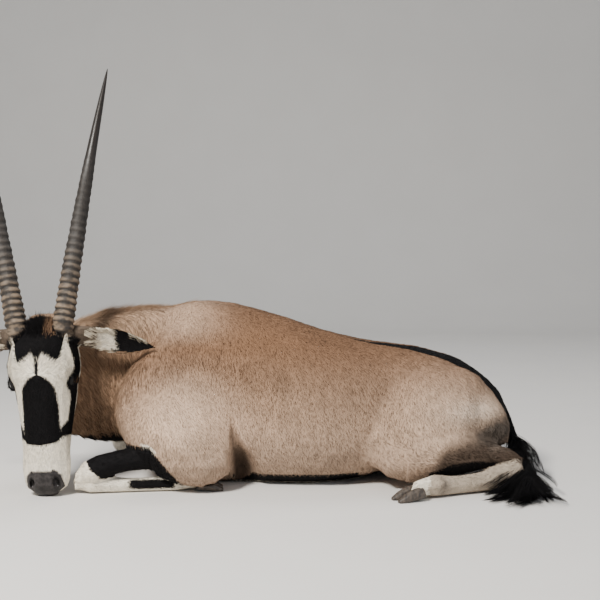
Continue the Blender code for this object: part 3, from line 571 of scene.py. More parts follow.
def earAxes(side):
    heading = Vector((earSet["droop"][side], side * 0.94, -0.16)).normalized()
    opening = squareTo(Vector(earSet["opening"]), heading)
    return heading, opening, heading.cross(opening)


def raised(edge, value, where):  # the edge raised to a value over part of the skin
    return np.where(where, np.maximum(edge, value), edge)


def towards(tone, name, share):  # the tone mixed towards a named one
    return mixed(tone, np.array(coatTones[name])[None, :], share)


def blob(x, z, middle, reach):  # 1 in the middle of a soft round patch, and less all round
    return np.exp(-(((x - middle[0]) / reach[0]) ** 2) - ((z - middle[1]) / reach[1]) ** 2)


def headMarks(local):
    x, y, z = local.T
    far = np.abs(y)
    black = np.minimum((np.interp(far, *headEdges["crown"]) - x) * 0.8, z + 0.002)
    strip = 0.0042 - far + 0.010 * smooth(-x, 0.03, 0.06)
    strip = np.minimum(strip, np.minimum(x + 0.07, 0.012 - x))
    black = np.maximum(black, np.where(z > 0, strip, outside))
    blaze = (np.interp(x, *headEdges["blaze"]) - far) * 0.9
    black = np.maximum(black, np.where(z > -0.03, blaze, outside))
    top, foot = (np.interp(x, *headEdges[name]) for name in ("stripeTop", "stripeFoot"))
    end = np.interp(z, *headEdges["stripeEnd"])
    stripe = np.minimum(np.minimum(top - z, z - foot), np.minimum(end - x, x + 0.112))
    black = np.maximum(black, np.where(far > 0.034, stripe, outside))
    black = np.maximum(black, 0.031 - np.hypot(x - 0.008, z + 0.006))
    jaw = 0.009 - np.abs(z - np.interp(x, *headEdges["jaw"]))
    black = np.maximum(black, np.minimum(np.minimum(0.085 - x, x + 0.096), jaw))
    white = np.minimum(0.02, np.minimum(x + 0.120 + 0.4 * np.maximum(0.0, -z - 0.05), z + 0.135))
    top = 0.245 + 15.0 * np.maximum(0.0, far - 0.020) ** 2 + 0.003 * latticeNoise(local, 0.010, 23.0)
    pad = np.minimum(x - top, (0.0455 - far) - 0.42 * np.maximum(0.0, x - 0.268))
    pad = np.minimum(pad, z + 0.030)
    mouth = -0.050 + (x - 0.196) * 0.084
    lips = np.minimum(0.0042 - np.abs(z - mouth), np.minimum(x - 0.188, 0.310 - x))
    pad = np.maximum(pad, lips)
    # The nostrils: padEdge rises inside each, and the paint turns it near-black as painted shade.
    forwards, sideways = x - 0.270 - 0.55 * (far - 0.034), far - 0.034 - 0.10 * (x - 0.270)
    nostril = np.hypot(forwards / 0.0115, sideways / 0.0062)
    pad = raised(pad, 0.0525 + (1 - nostril) * 0.030, (nostril < 2.2) & (z > -0.02))
    return black, white, pad


def earMarks(local, normals, side):
    heading, opening, across = (np.array(axis) for axis in earAxes(side))
    away = local - np.array(mirrored(earSet["root"], side))
    share = away @ heading / earSet["length"]
    over = away @ across / earSet["halfWidth"]
    front = (normals @ headAxes) @ opening
    width = np.interp(share, *earWidths)
    rim = np.where(share > 0.50, (np.abs(over) - 0.72 * width) * 0.04, -0.02)
    tip = (share - 0.88) * 0.1
    cup = np.where(front > 0, 0.02, -0.02)
    patch = np.minimum((share - 0.53 - 0.05 * over / width) * 0.12, cup)
    black = np.maximum(np.maximum(rim, tip), patch)
    # White from a third of the way out; nearer the root the painted shadow tone shows.
    white = np.minimum((share - 0.33) * 0.08, 0.012)
    return black, white


def bodyMarks(points, parts):
    x, y, z = points.T
    far = np.abs(y)
    black = np.full(len(points), outside)
    white = np.full(len(points), outside)
    trunk = nodeMask(parts, "torso", "thigh", "shoulder", "shank", "neck")
    stripe = np.interp(x, *bodyEdges["dorsal"]) + 0.0025 * latticeNoise(points, 0.018, 43.0)
    stripe = stripe - np.abs(y - 0.004 * np.sin(x * 14))
    above = z > np.interp(x, *bodyEdges["ridge"])
    black = np.where(trunk & above & (x > -0.34), stripe, black)
    # Lower thigh and gaskin.
    edge = np.interp(x, *bodyEdges["thigh"]) + 0.006 * latticeNoise(points, 0.030, 17.0)
    leg = nodeMask(parts, "thigh", "shank") & (x > 0.44)
    black = raised(black, np.minimum((edge - z) * 0.6, (x - 0.46) * 0.5), leg)
    # Black lower edge of the shoulder, and its white patch.
    edge = np.minimum(0.128, 0.106 - (x + 0.222) * 1.25)
    arm = nodeMask(parts, "shoulder") & (x > -0.33)
    black = raised(black, np.minimum((edge - z) * 0.7, 0.02), arm)
    patch = 1 - np.hypot((x + 0.243) / 0.022, (z - 0.122 + 0.35 * (x + 0.243)) / 0.011)
    breast = nodeMask(parts, "shoulder", "forearm", "torso") & (far > 0.15)
    white = raised(white, patch * 0.012, breast)
    # White belly, with the black stripe over it.
    flank = nodeMask(parts, "torso") & (x > -0.05) & (x < 0.52)
    black = raised(black, np.minimum(0.034 - z, z - 0.006) * 0.9, flank)
    white = raised(white, 0.008 - z, flank)
    # Legs, tail and throat.
    forearm = nodeMask(parts, "forearm")
    knee = -(x + 0.362) - (z - 0.045) * 0.95
    black = np.where(forearm, np.where(knee > 0, -knee, 0.03), black)
    white = np.where(forearm, knee, white)
    cannon = nodeMask(parts, "fore_cannon")
    shin = np.minimum(np.minimum(x + 0.300, -0.180 - x) * 0.5, 0.012 - np.abs(z - 0.022))
    black = np.where(cannon, np.minimum(shin, 0.006), black)
    white = np.where(cannon, 0.02, white)
    hind = nodeMask(parts, "hind_cannon")
    hock = 0.486 - x + 0.012 * latticeNoise(points, 0.012, 19.0)
    white = np.where(hind, np.maximum(hock, outside), white)
    black = np.where(hind, outside, black)
    black = np.where(nodeMask(parts, "tail"), inside, black)
    throat = nodeMask(parts, "neck") & (z < 0.14)
    black = raised(black, 0.02 - np.abs(y + 0.02), throat)
    return black, white


def bodyTone(points, parts):
    x, y, z = points.T
    tone = towards(np.array(coatTones["low"])[None, :], "flank", smooth(z, 0.03, 0.20))
    tone = towards(tone, "back", smooth(z, 0.10, 0.40))
    # The neck: its brown coat, darkened as painted shade.
    neck = smooth(-x, 0.22, 0.36) * smooth(0.155 - np.abs(y - 0.02), -0.02, 0.02)
    tone = towards(tone, "neck", neck * 0.85)
    # Paler along the crest: partly the coat's own tan and partly painted sunlight.
    crest = smooth(-x, 0.16, 0.32) * smooth(z + 0.02 * latticeNoise(points, 0.05, 45.0), 0.33, 0.43)
    tone = towards(tone, "crest", crest * 0.8)
    spine = np.exp(-(((y - 0.004 * np.sin(x * 14)) / 0.008) ** 2))
    spine = spine * smooth(-x, -0.30, 0.05) * smooth(z, 0.30, 0.36)
    tone = towards(tone, "brown", spine * 0.40)
    # Painted sunlight: paler pools on the withers, the shoulder and the haunch.
    paintedSunlight = 0.6 * np.exp(-(((x + 0.17) / 0.10) ** 2)) * smooth(z, 0.36, 0.44)
    paintedSunlight = np.maximum(paintedSunlight, blob(x, z, (-0.16, 0.19), (0.11, 0.10)))
    paintedSunlight = np.maximum(paintedSunlight, blob(x, z, (0.56, 0.19), (0.13, 0.09)))
    tone = towards(tone, "paintedSunlight", paintedSunlight * 0.72)
    patches = 1 + 0.09 * latticeNoise(points, 0.11, 21.0) + 0.06 * latticeNoise(points, 0.035, 5.0)
    tone = tone * patches[:, None]
    # Two paler patches on the rump and the back of the thigh.
    rear = nodeMask(parts, "thigh", "torso", "shank")
    pale = blob(x, z, (0.625, 0.205), (0.07, 0.028)) * rear
    pale = np.maximum(pale, 0.9 * blob(x, z, (0.665, 0.112), (0.05, 0.020)) * rear)
    tone = towards(tone, "rumpPale", pale * 0.75)
    # Painted shade: a dark speckled smudge low on the rear of the rump.
    rump = np.exp(-(((x - 0.680) / 0.072) ** 2) - ((z - 0.148 - 0.25 * (x - 0.69)) / 0.036) ** 2) * rear
    rump = np.clip(rump * 1.45 + 0.25 * latticeNoise(points, 0.012, 27.0) * rump, 0, 1)
    tone = towards(tone, "rumpShade", rump * 0.92)
    edge = np.interp(x, *bodyEdges["dusk"])
    dusk = smooth(edge + 0.046 - z + 0.012 * latticeNoise(points, 0.02, 33.0), 0.0, 0.048)
    dusk = dusk * nodeMask(parts, "thigh", "shank") * smooth(x, 0.47, 0.53)
    tone = towards(tone, "brown", dusk * 0.94)
    # Painted shade: dark brown in the recess behind each elbow, deepest low down.
    depth = smooth(0.195 - z, 0.0, 0.14)  # in the recess behind the elbow
    over = (x + 0.034) / (0.010 + 0.060 * depth)
    elbowShade = smooth(over, 0.0, 0.16) * (1 - smooth(over, 0.40, 1.05)) * depth * (np.abs(y) > 0.08)
    tone = towards(tone, "brown", elbowShade * 0.9 * nodeMask(parts, "torso", "shoulder"))
    hind = nodeMask(parts, "hind_cannon")
    tone = towards(tone, "hindLeg", hind)
    # Mottles on the hind cannon, more towards the bottom: partly the leg's own mottling and partly
    # painted shade on its lower side.
    greyAndShade = smooth(latticeNoise(points, 0.020, 35.0) + 6 * (0.045 - z), 0.0, 0.9) * hind
    return towards(tone, "greyAndShade", greyAndShade * 0.7)


def coatMarks(points, normals, parts):
    black, white = bodyMarks(points, parts)
    tone = bodyTone(points, parts)
    light = 0.20 * latticeNoise(points * np.array((1.0, 1.0, 0.26)), 0.0046, 11.0)
    light = light + 0.10 * latticeNoise(points * np.array((1.0, 1.0, 0.30)), 0.0090, 12.0)
    local = toHead(points)
    head = nodeMask(parts, "head")
    headBlack, headWhite, headPad = headMarks(local)
    black, white = np.where(head, headBlack, black), np.where(head, headWhite, white)
    pad = np.where(head, headPad, outside)
    brow = 0.13 * latticeNoise(local * np.array((0.24, 1.0, 1.0)), 0.0040, 15.0) + 0.03
    nose = 0.10 * smooth(local[:, 0], 0.20, 0.25) * (latticeNoise(local, 0.012, 16.0) + 0.4)
    light = np.where(head, brow - nose, light)
    for side, name in bothSides:
        ear = nodeMask(parts, f"ear_{name}")
        earBlack, earWhite = earMarks(local, normals, side)
        black, white = np.where(ear, earBlack, black), np.where(ear, earWhite, white)
        # Each ear takes the painted shadow tone, seen near its root where it is neither white nor black.
        tone = towards(tone, "earShadow", ear)
    return tone, black, white, pad, light


def storeMarks(mesh, marks):
    for name, values in zip(("coatTone", "blackEdge", "whiteEdge", "padEdge", "coatLight"), marks):
        addAttribute(mesh, name, values)


skinNormals = normalsOf(skin.data)
storeMarks(skin.data, coatMarks(skinPoints, skinNormals, skinParts))
print("markings laid on the skin")

# Coat materials.
coatLooks = {
    "black": (0.0060, 0.0055, 0.0060),
    "white": (0.80, 0.735, 0.615),
    "pad": (0.017, 0.015, 0.015),
    # pale blotches on the nose pad: partly its own mottling and partly painted sheen
    "padPaleSheen": (0.052, 0.046, 0.045),
    # painted shade inside the nostrils
    "nostril": (0.004, 0.003, 0.003),
    "streaks": (520.0, 520.0, 150.0),  # cells per metre
    "specks": (210.0, 210.0, 90.0),
    "fringe": 0.010,  # how far the edges of the patches wander, in metres
    "bump": 0.0009,
}


def coatPaint(name, grain, bump):
    paint = Paint(name, (0.42, 0.32, 0.25), 0.78)
    streak = paint.noise(coatLooks["streaks"])
    speck = paint.noise(coatLooks["specks"], 3.0, 0.6)
    light = (1.0 - grain) + streak * grain * 1.2 + speck * grain * 0.8 + paint.attribute("coatLight")
    fringe = (paint.noise((300.0, 300.0, 300.0)) - 0.5) * coatLooks["fringe"]
    black = (paint.attribute("blackEdge") + fringe).between(-0.0016, 0.0016)
    white = (paint.attribute("whiteEdge") + fringe).between(-0.0020, 0.0020)
    pad = (paint.attribute("padEdge") + fringe * 0.6).between(-0.0050, 0.0035)
    lit = paint.make("ShaderNodeCombineXYZ", {}, {0: light, 1: light, 2: light})
    tone = paint.mix(1.0, paint.attribute("coatTone", "Color"), lit, "MULTIPLY")
    pale = paint.mix(1.0, coatLooks["white"], lit, "MULTIPLY")
    colour = paint.mix(white, tone, pale)
    colour = paint.mix(black, colour, coatLooks["black"])
    # Pale blotches on the nose pad: partly its own mottling and partly painted sheen.
    mottleAndSheen = paint.noise((60.0, 60.0, 60.0), 4.0, 0.6).between(0.35, 0.75)
    colour = paint.mix(pad, colour, paint.mix(mottleAndSheen, coatLooks["pad"], coatLooks["padPaleSheen"]))
    # Painted shade: near-black inside the nostrils.
    hollow = paint.attribute("padEdge").between(0.046, 0.058)
    colour = paint.mix(hollow, colour, coatLooks["nostril"])
    paint.feed(Base_Color=colour, Specular_IOR_Level=0.08)
    paint.feed(Roughness=black.between(0.0, 1.0, 0.88, 0.74))
    paint.feed(Coat_Weight=pad * 0.35, Coat_Roughness=0.32)
    if bump:
        height = streak + speck * 0.5
        paint.feed(Normal=paint.bump(height, coatLooks["bump"], 0.7))
    return paint.material


skinPaint = coatPaint("skinCoat", 0.34, True)
tuftPaint = coatPaint("tuftCoat", 0.30, False)
skin.data.materials.clear()
skin.data.materials.append(skinPaint)
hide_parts(*fleshNames)
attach(skin, "root")


# Tufts and hairs: each is a closed three-sided blade that tapers to a point.
def bladeMesh(name, paths, across, widths, thick, marks, bakeRoots, taper=(1.0, 0.95, 0.7, 0.4)):
    count, steps = paths.shape[0], paths.shape[1] - 1
    along = np.gradient(paths, axis=1)
    out = np.cross(across[:, None, :], along)
    out = out / np.maximum(np.linalg.norm(out, axis=2, keepdims=True), 1e-9)
    share = np.linspace(0, 1, steps + 1)[:steps]
    size = np.interp(share, np.linspace(0, 0.85, len(taper)), taper)
    wide = across[:, None, :] * (widths[:, None] * size[None, :] / 2)[:, :, None]
    deep = out[:, :steps] * (thick * widths[:, None] * size[None, :])[:, :, None]
    rings = np.stack([paths[:, :steps] + wide, paths[:, :steps] + deep, paths[:, :steps] - wide], axis=2)
    points = np.concatenate([rings.reshape(count, steps * 3, 3), paths[:, -1:, :]], axis=1)
    points[:, :, 2] = np.maximum(points[:, :, 2], skinSet["floorGap"])
    each = steps * 3 + 1
    quads = [(3 * k + i, 3 * k + (i + 1) % 3, 3 * k + 3 + (i + 1) % 3, 3 * k + 3 + i)
             for k in range(steps - 1) for i in range(3)]
    last = 3 * (steps - 1)
    triangles = [(last + i, last + (i + 1) % 3, each - 1) for i in range(3)] + [(2, 1, 0)]
    pattern = np.array([corner for face in quads + triangles for corner in face])
    sizes = np.array([4] * len(quads) + [3] * len(triangles))
    corners = (pattern[None, :] + each * np.arange(count)[:, None]).ravel()
    starts = np.concatenate([[0], np.cumsum(np.tile(sizes, count))[:-1]])
    mesh = bpy.data.meshes.new(name)
    mesh.vertices.add(count * each)
    mesh.vertices.foreach_set("co", np.ascontiguousarray(points, np.float32).ravel())
    mesh.loops.add(len(corners))
    mesh.loops.foreach_set("vertex_index", corners.astype(np.int32))
    mesh.polygons.add(len(starts))
    mesh.polygons.foreach_set("loop_start", starts.astype(np.int32))
    mesh.update(calc_edges=True)
    mesh.validate()
    bake = mesh.uv_layers.new(name="OFBake")
    ringShare = np.concatenate([np.repeat(share, 3), [1.0]])
    ringSide = np.concatenate([np.tile((0.5, 0.0, -0.5), steps), [0.0]])
    local = np.stack([ringSide, ringShare - 0.5], axis=1) * 0.003
    spots = (bakeRoots[:, None, :] + local[None, :, :]).reshape(-1, 2)[corners]
    bake.data.foreach_set("uv", np.ascontiguousarray(spots, np.float32).ravel())
    storeMarks(mesh, [np.repeat(values, each, axis=0) for values in marks])
    mesh.shade_smooth()
    piece = addPiece(name, mesh)
    mesh.materials.append(tuftPaint)
    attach(piece, "root")
    return piece


def triangleData():
    mesh = skin.data
    mesh.calc_loop_triangles()
    count = len(mesh.loop_triangles)
    corners = np.empty(count * 3, np.int32)
    mesh.loop_triangles.foreach_get("vertices", corners)
    loops = np.empty(count * 3, np.int32)
    mesh.loop_triangles.foreach_get("loops", loops)
    spots = np.empty(len(mesh.loops) * 2)
    mesh.uv_layers["OFBake"].data.foreach_get("uv", spots)
    return corners.reshape(-1, 3), spots.reshape(-1, 2)[loops].reshape(-1, 3, 2)


triangles, triangleSpots = triangleData()
rng = np.random.default_rng(26)


def scatter(count, weight):  # roots spread evenly over the skin, by the weight at its points
    cornersAt = skinPoints[triangles]
    first, second = cornersAt[:, 1] - cornersAt[:, 0], cornersAt[:, 2] - cornersAt[:, 0]
    area = np.linalg.norm(np.cross(first, second), axis=1) / 2
    share = np.cumsum(area * weight[triangles].mean(axis=1))
    wanted = (np.arange(count) + rng.random(count)) / count * share[-1]
    index = np.minimum(np.searchsorted(share, wanted), len(share) - 1)
    first, second = rng.random(count), rng.random(count)
    over = first + second > 1
    first, second = np.where(over, 1 - first, first), np.where(over, 1 - second, second)
    weights = np.stack([1 - first - second, first, second], axis=1)
    roots = np.einsum("nk,nkj->nj", weights, cornersAt[index])
    normals = unit(np.einsum("nk,nkj->nj", weights, skinNormals[triangles[index]]))
    spots = np.einsum("nk,nkj->nj", weights, triangleSpots[index])
    parts = skinParts[triangles[index][np.arange(count), weights.argmax(axis=1)]]
    return roots, normals, spots, parts


lieByPart = {
    "torso": (0.24, 0.0, -0.97),
    "shoulder": (0.14, 0.0, -0.99),
    "neck": (0.45, 0.25, -0.85),
    "thigh": (0.22, 0.0, -0.97),
    "shank": (0.85, 0.0, -0.50),
    "forearm": (-0.97, 0.0, -0.22),
    "fore_cannon": (0.98, 0.0, -0.18),
    "hind_cannon": (-0.92, -0.35, -0.15),
    "tail": (0.30, -0.35, -0.90),
}


def lieOf(roots, normals, parts):  # which way the coat lies, along the skin
    lie = np.zeros_like(roots)
    for name, heading in lieByPart.items():
        lie[nodeMask(parts, name)] = heading
    front = nodeMask(parts, "neck", "torso")
    lies = (np.array(lieByPart[name])[None, :] for name in ("torso", "neck"))
    lie[front] = mixed(*lies, smooth(-roots[:, 0], 0.20, 0.40))[front]
    local = toHead(roots)
    down = smooth(local[:, 0], -0.012, 0.012)
    whorl = unit(np.stack([local[:, 0] - 0.004, local[:, 1] * 1.15, np.zeros(len(local))], axis=1))
    flat = np.stack([np.ones(len(local)), 2.2 * local[:, 1], np.zeros(len(local))], axis=1)
    cheek = smooth(np.abs(local[:, 1]), 0.05, 0.08)
    facing = whorl * ((1 - down) * (1 - cheek))[:, None] + flat * (down + cheek - down * cheek)[:, None]
    head = nodeMask(parts, "head")
    lie[head] = (unit(facing) @ headAxes.T)[head]
    for side, name in bothSides:
        heading = np.array(earAxes(side)[0]) @ headAxes.T
        lie[nodeMask(parts, f"ear_{name}")] = heading
    drift = [latticeNoise(roots, 0.045, seed) for seed in (31.0, 37.0, 41.0)]
    lie = lie + 0.13 * np.stack(drift, axis=1)
    lie = lie - normals * (lie * normals).sum(axis=1, keepdims=True)
    return unit(lie)


# Coat by region: how many tufts, their length and width in metres, how far they stand out and
# stray from the lie of the coat, and how much their tones vary.
coatRegions = {
    "body": {"count": 110000, "length": 0.0115, "width": 0.00135, "lift": 0.21, "stray": 0.09,
             "shade": 0.29, "steps": 1, "pieces": 3},
    "neck": {"count": 14500, "length": 0.0235, "width": 0.0016, "lift": 0.22, "stray": 0.15,
             "shade": 0.24, "steps": 3, "pieces": 2},
    "face": {"count": 34000, "length": 0.0078, "width": 0.0011, "lift": 0.20, "stray": 0.16,
             "shade": 0.20, "steps": 2, "pieces": 2},
    "legs": {"count": 13000, "length": 0.0085, "width": 0.0014, "lift": 0.20, "stray": 0.14,
             "shade": 0.16, "steps": 2, "pieces": 1},
    "ears": {"count": 7000, "length": 0.0075, "width": 0.0012, "lift": 0.24, "stray": 0.16,
             "shade": 0.16, "steps": 2, "pieces": 1},
}
headPart = nodeMask(skinParts, "head")
earPart = nodeMask(skinParts, "ear")
legPart = nodeMask(skinParts, "forearm", "fore_cannon", "hind_cannon")
neckPart = nodeMask(skinParts, "neck", "torso", "shoulder") * smooth(-skinPoints[:, 0], 0.20, 0.40)
neckPart = neckPart * smooth(0.175 - np.abs(skinPoints[:, 1] - 0.02), -0.02, 0.02)
regionMask = {"face": headPart, "ears": earPart, "legs": legPart, "neck": neckPart}
regionMask["body"] = ~(headPart | earPart | legPart) * (1 - neckPart)


def bareShare(points, parts):  # 0 where no hair grows
    bare = smooth(-headMarks(toHead(points))[2], 0.0, 0.003)
    for name in ("eye_left", "eye_right"):
        low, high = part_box(name)
        middle = (np.array(low) + np.array(high)) / 2
        bare = bare * smooth(np.linalg.norm(points - middle, axis=1), 0.0205, 0.0235)
    return np.where(nodeMask(parts, "head"), bare, 1.0)


def growCoat():
    for name, look in coatRegions.items():
        count = look["count"] // 1
        weight = regionMask[name] * bareShare(skinPoints, skinParts)
        roots, normals, spots, parts = scatter(count, weight)
        lie = lieOf(roots, normals, parts)
        across = np.cross(lie, normals)
        turn = rng.normal(0, look["stray"], count)[:, None]
        lie = unit(lie + across * turn)
        across = np.cross(lie, normals)
        scale = rng.uniform(0.7, 1.25, count)
        length = look["length"] * scale
        if name == "neck":
            length = length * (0.75 + 0.55 * smooth(roots[:, 2], 0.22, 0.42))
            length = length * (1 - 0.45 * smooth(-roots[:, 0], 0.52, 0.58))
        if name == "face":
            brow = toHead(roots)
            length = length * (1 + 0.9 * np.exp(-((brow[:, 0] + 0.03) / 0.03) ** 2))
            length = length * (1 - 0.45 * smooth(brow[:, 0], 0.19, 0.26))
        lift = look["lift"] * rng.uniform(0.6, 1.5, count)
        share = np.linspace(0.0, 1.0, look["steps"] + 1)
        rise = (lift * length)[:, None] * (share - 0.40 * share**2)[None, :]
        rise = rise - 0.0007 * (1 - share)[None, :]
        paths = roots[:, None, :] + lie[:, None, :] * (length[:, None] * share)[:, :, None]
        paths = paths + normals[:, None, :] * rise[:, :, None]
        paths[:, :, 2] = np.maximum(paths[:, :, 2], 0.0004)
        tone, black, white, pad, light = coatMarks(roots, normals, parts)
        jitter = rng.normal(0, 0.0012, count)
        shade = np.clip(rng.normal(-0.01, look["shade"], count), -0.42, 0.60)
        marks = (tone, black + jitter, white + jitter, pad, light + shade)
        width = look["width"] * scale
        for index, chosen in enumerate(np.array_split(np.arange(count), look["pieces"])):
            part = [values[chosen] for values in marks]
            title = f"{name}Coat{index + 1}" if look["pieces"] > 1 else f"{name}Coat"
            blades = (paths[chosen], across[chosen], width[chosen])
            piece = bladeMesh(title, *blades, 0.22, part, spots[chosen])
    print("coat grown")


growCoat()
skinTree = BVHTree.FromPolygons([Vector(point) for point in skinPoints], triangles.tolist())


def nearestSkin(points):  # nearest skin point, normal, bake spot and part for each point
    found = [skinTree.find_nearest(Vector(point)) for point in points]
    roots = np.array([item[0] for item in found])
    index = np.array([item[2] for item in found])
    normals = unit(skinNormals[triangles[index]].mean(axis=1))
    spots = triangleSpots[index].mean(axis=1)
    return roots, normals, spots, skinParts[triangles[index][:, 0]]


# Mane on the crest of the neck, the black crest between the horns, and the ear hair.
maneSet = {
    "hairs": 3400, "length": 0.040, "width": 0.0015, "thick": 0.25, "steps": 4, "sink": 0.001,
    # pale: partly the mane's own tan and partly painted sunlight
    "spread": 0.016, "tone": (0.330, 0.212, 0.136), "pale": (0.54, 0.370, 0.245), "paleShare": 0.76,
}
pollSet = {
    "hairs": 1500, "length": 0.038, "width": 0.0011, "thick": 0.25, "steps": 4, "sink": 0.001,
    "tone": (0.235, 0.140, 0.085),
}
earHairSet = {
    "hairs": 420, "length": 0.030, "width": 0.0013, "thick": 0.25, "steps": 3, "sink": 0.0005,
    "tone": (0.62, 0.54, 0.42),
}
crestRows = [  # x, y, z, half width and half height of the neck, in metres
    (-0.1486, 0.0375, 0.285, 0.140, 0.190),
    (-0.2486, 0.0375, 0.285, 0.138, 0.196),
    (-0.3486, 0.0335, 0.278, 0.122, 0.192),
    (-0.4386, 0.0075, 0.274, 0.106, 0.178),
    (-0.5036, -0.0475, 0.288, 0.092, 0.150),
    (-0.5306, -0.1125, 0.310, 0.080, 0.118),
]


def hairPaths(roots, headings, sags, lengths, steps):
    share = np.linspace(0, 1, steps + 1)[None, :, None]
    straight = headings[:, None, :] * lengths[:, None, None] * share
    return roots[:, None, :] + straight + sags[:, None, :] * share**2


def plainMarks(tone, black=outside):  # marks of hair of its own tone, black where black is over 0
    none = np.full(len(tone), outside)
    return tone, np.zeros(len(tone)) + black, none, none, np.zeros(len(tone))


def plantHair(name, look, foot, heading, sag, length, marks, across=None, **more):
    roots, normals, spots = foot
    paths = hairPaths(roots - normals * look["sink"], heading, sag, length, look["steps"])
    across = unit(np.cross(heading, normals)) if across is None else across
    width = look["width"] * rng.uniform(0.7, 1.2, len(roots))
    return bladeMesh(name, paths, across, width, look["thick"], marks, spots, **more)


def makeMane():
    count = maneSet["hairs"] // 1
    table = easedRows(crestRows, 60)
    pick = rng.random(count) ** 0.8 * 58.99
    low = pick.astype(int)
    part = (pick - low)[:, None]
    rows = table[low] * (1 - part) + table[low + 1] * part
    ahead = unit(table[low + 1, :3] - table[low, :3])
    side = unit(np.cross(ahead, np.array((0.0, 0.0, 1.0))))
    over = np.cross(side, ahead)
    guess = rows[:, :3] + over * rows[:, 4:5] + side * rng.normal(0, maneSet["spread"], count)[:, None]
    foot = nearestSkin(guess)[:3]
    length = maneSet["length"] * rng.uniform(0.55, 1.15, count) * (0.55 + 0.45 * smooth(pick, 8, 34))
    heading = unit(foot[1] * 0.62 - ahead * 0.72 + rng.normal(0, 0.14, (count, 3)))
    sag = -ahead * 0.010 + foot[1] * -0.010 + rng.normal(0, 0.003, (count, 3))
    tone = np.array(maneSet["tone"]) * rng.uniform(0.5, 1.4, (count, 1))
    # Most hairs pale: partly the mane's own tan and partly painted sunlight.
    pale = rng.random(count) < maneSet["paleShare"]
    tone[pale] = np.array(maneSet["pale"]) * rng.uniform(0.8, 1.2, (pale.sum(), 1))
    mane = plantHair("mane", maneSet, foot, heading, sag, length, plainMarks(tone), side,
                     taper=(1.0, 0.9, 0.6, 0.3))


def makePollTuft():
    count = pollSet["hairs"]
    local = (rng.uniform(-0.150, -0.085, count), rng.normal(0, 0.016, count), np.full(count, 0.03))
    local = np.stack(local, axis=1)
    foot = nearestSkin(fromHead(local))[:3]
    heading = np.stack([np.full(count, -0.80), local[:, 1] * 6, np.full(count, 0.30)], axis=1)
    heading = unit(heading @ headAxes.T + foot[1] * 0.35 + rng.normal(0, 0.19, (count, 3)))
    sag = np.array((0.0, 0.006, -0.006)) + rng.normal(0, 0.003, (count, 3))
    clumps = 1 + 0.35 * latticeNoise(local, 0.012, 71.0)
    length = pollSet["length"] * rng.uniform(0.4, 1.15, count)
    length = np.maximum(length * smooth(-local[:, 0], 0.080, 0.115) * clumps, 0.006)
    black = (0.019 - local[:, 1]) * 3 + rng.normal(0, 0.016, count)
    tone = np.array(pollSet["tone"]) * rng.uniform(0.5, 1.4, (count, 1))
    tuft = plantHair("pollTuft", pollSet, foot, heading, sag, length, plainMarks(tone, black))


def makeEarHair(side, name):
    heading, opening, across = (np.array(axis) for axis in earAxes(side))
    count = earHairSet["hairs"]
    long = rng.random(count) < 0.62
    share = np.where(long, rng.uniform(0.20, 0.50, count), rng.uniform(0.66, 0.88, count))
    width = np.interp(share, *earWidths) * 0.9
    edge = np.where((rng.random(count) < 0.5) & (share < 0.6), 1.0, -1.0)
    edge = edge * rng.uniform(0.35, 0.95, count)
    local = np.array(mirrored(earSet["root"], side))
    local = local + heading * (share * earSet["length"])[:, None] + opening * 0.012
    local = local + across * (edge * width * earSet["halfWidth"])[:, None]
    foot = nearestSkin(fromHead(local))[:3]
    along = heading * 0.85 - across * (edge * 0.55)[:, None] + opening * 0.25
    along = unit(along @ headAxes.T + rng.normal(0, 0.12, (count, 3)))
    sag = -(opening @ headAxes.T) * 0.006 + rng.normal(0, 0.002, (count, 3))
    length = earHairSet["length"] * rng.uniform(0.5, 1.1, count)
    length = length * np.interp(share, (0.2, 0.5, 0.9), (1.0, 1.0, 0.5))
    tone = np.array(earHairSet["tone"]) * rng.uniform(0.75, 1.1, (count, 1))
    hair = plantHair(f"earHair_{name}", earHairSet, foot, along, sag, length, plainMarks(tone))


# Tail: long black hair that falls from the end of the tail on to the floor.
tailSet = {
    "locks": 150, "hairsEach": 22, "length": 0.256, "width": 0.0016, "steps": 7,
    "drift": (0.0, -0.40, -0.20),  # how each step of a hair turns
    "gather": 0.52,  # how far a lock's hairs draw together at its end
    "bed": 0.0015,
    "tone": (0.02, 0.018, 0.018),
}


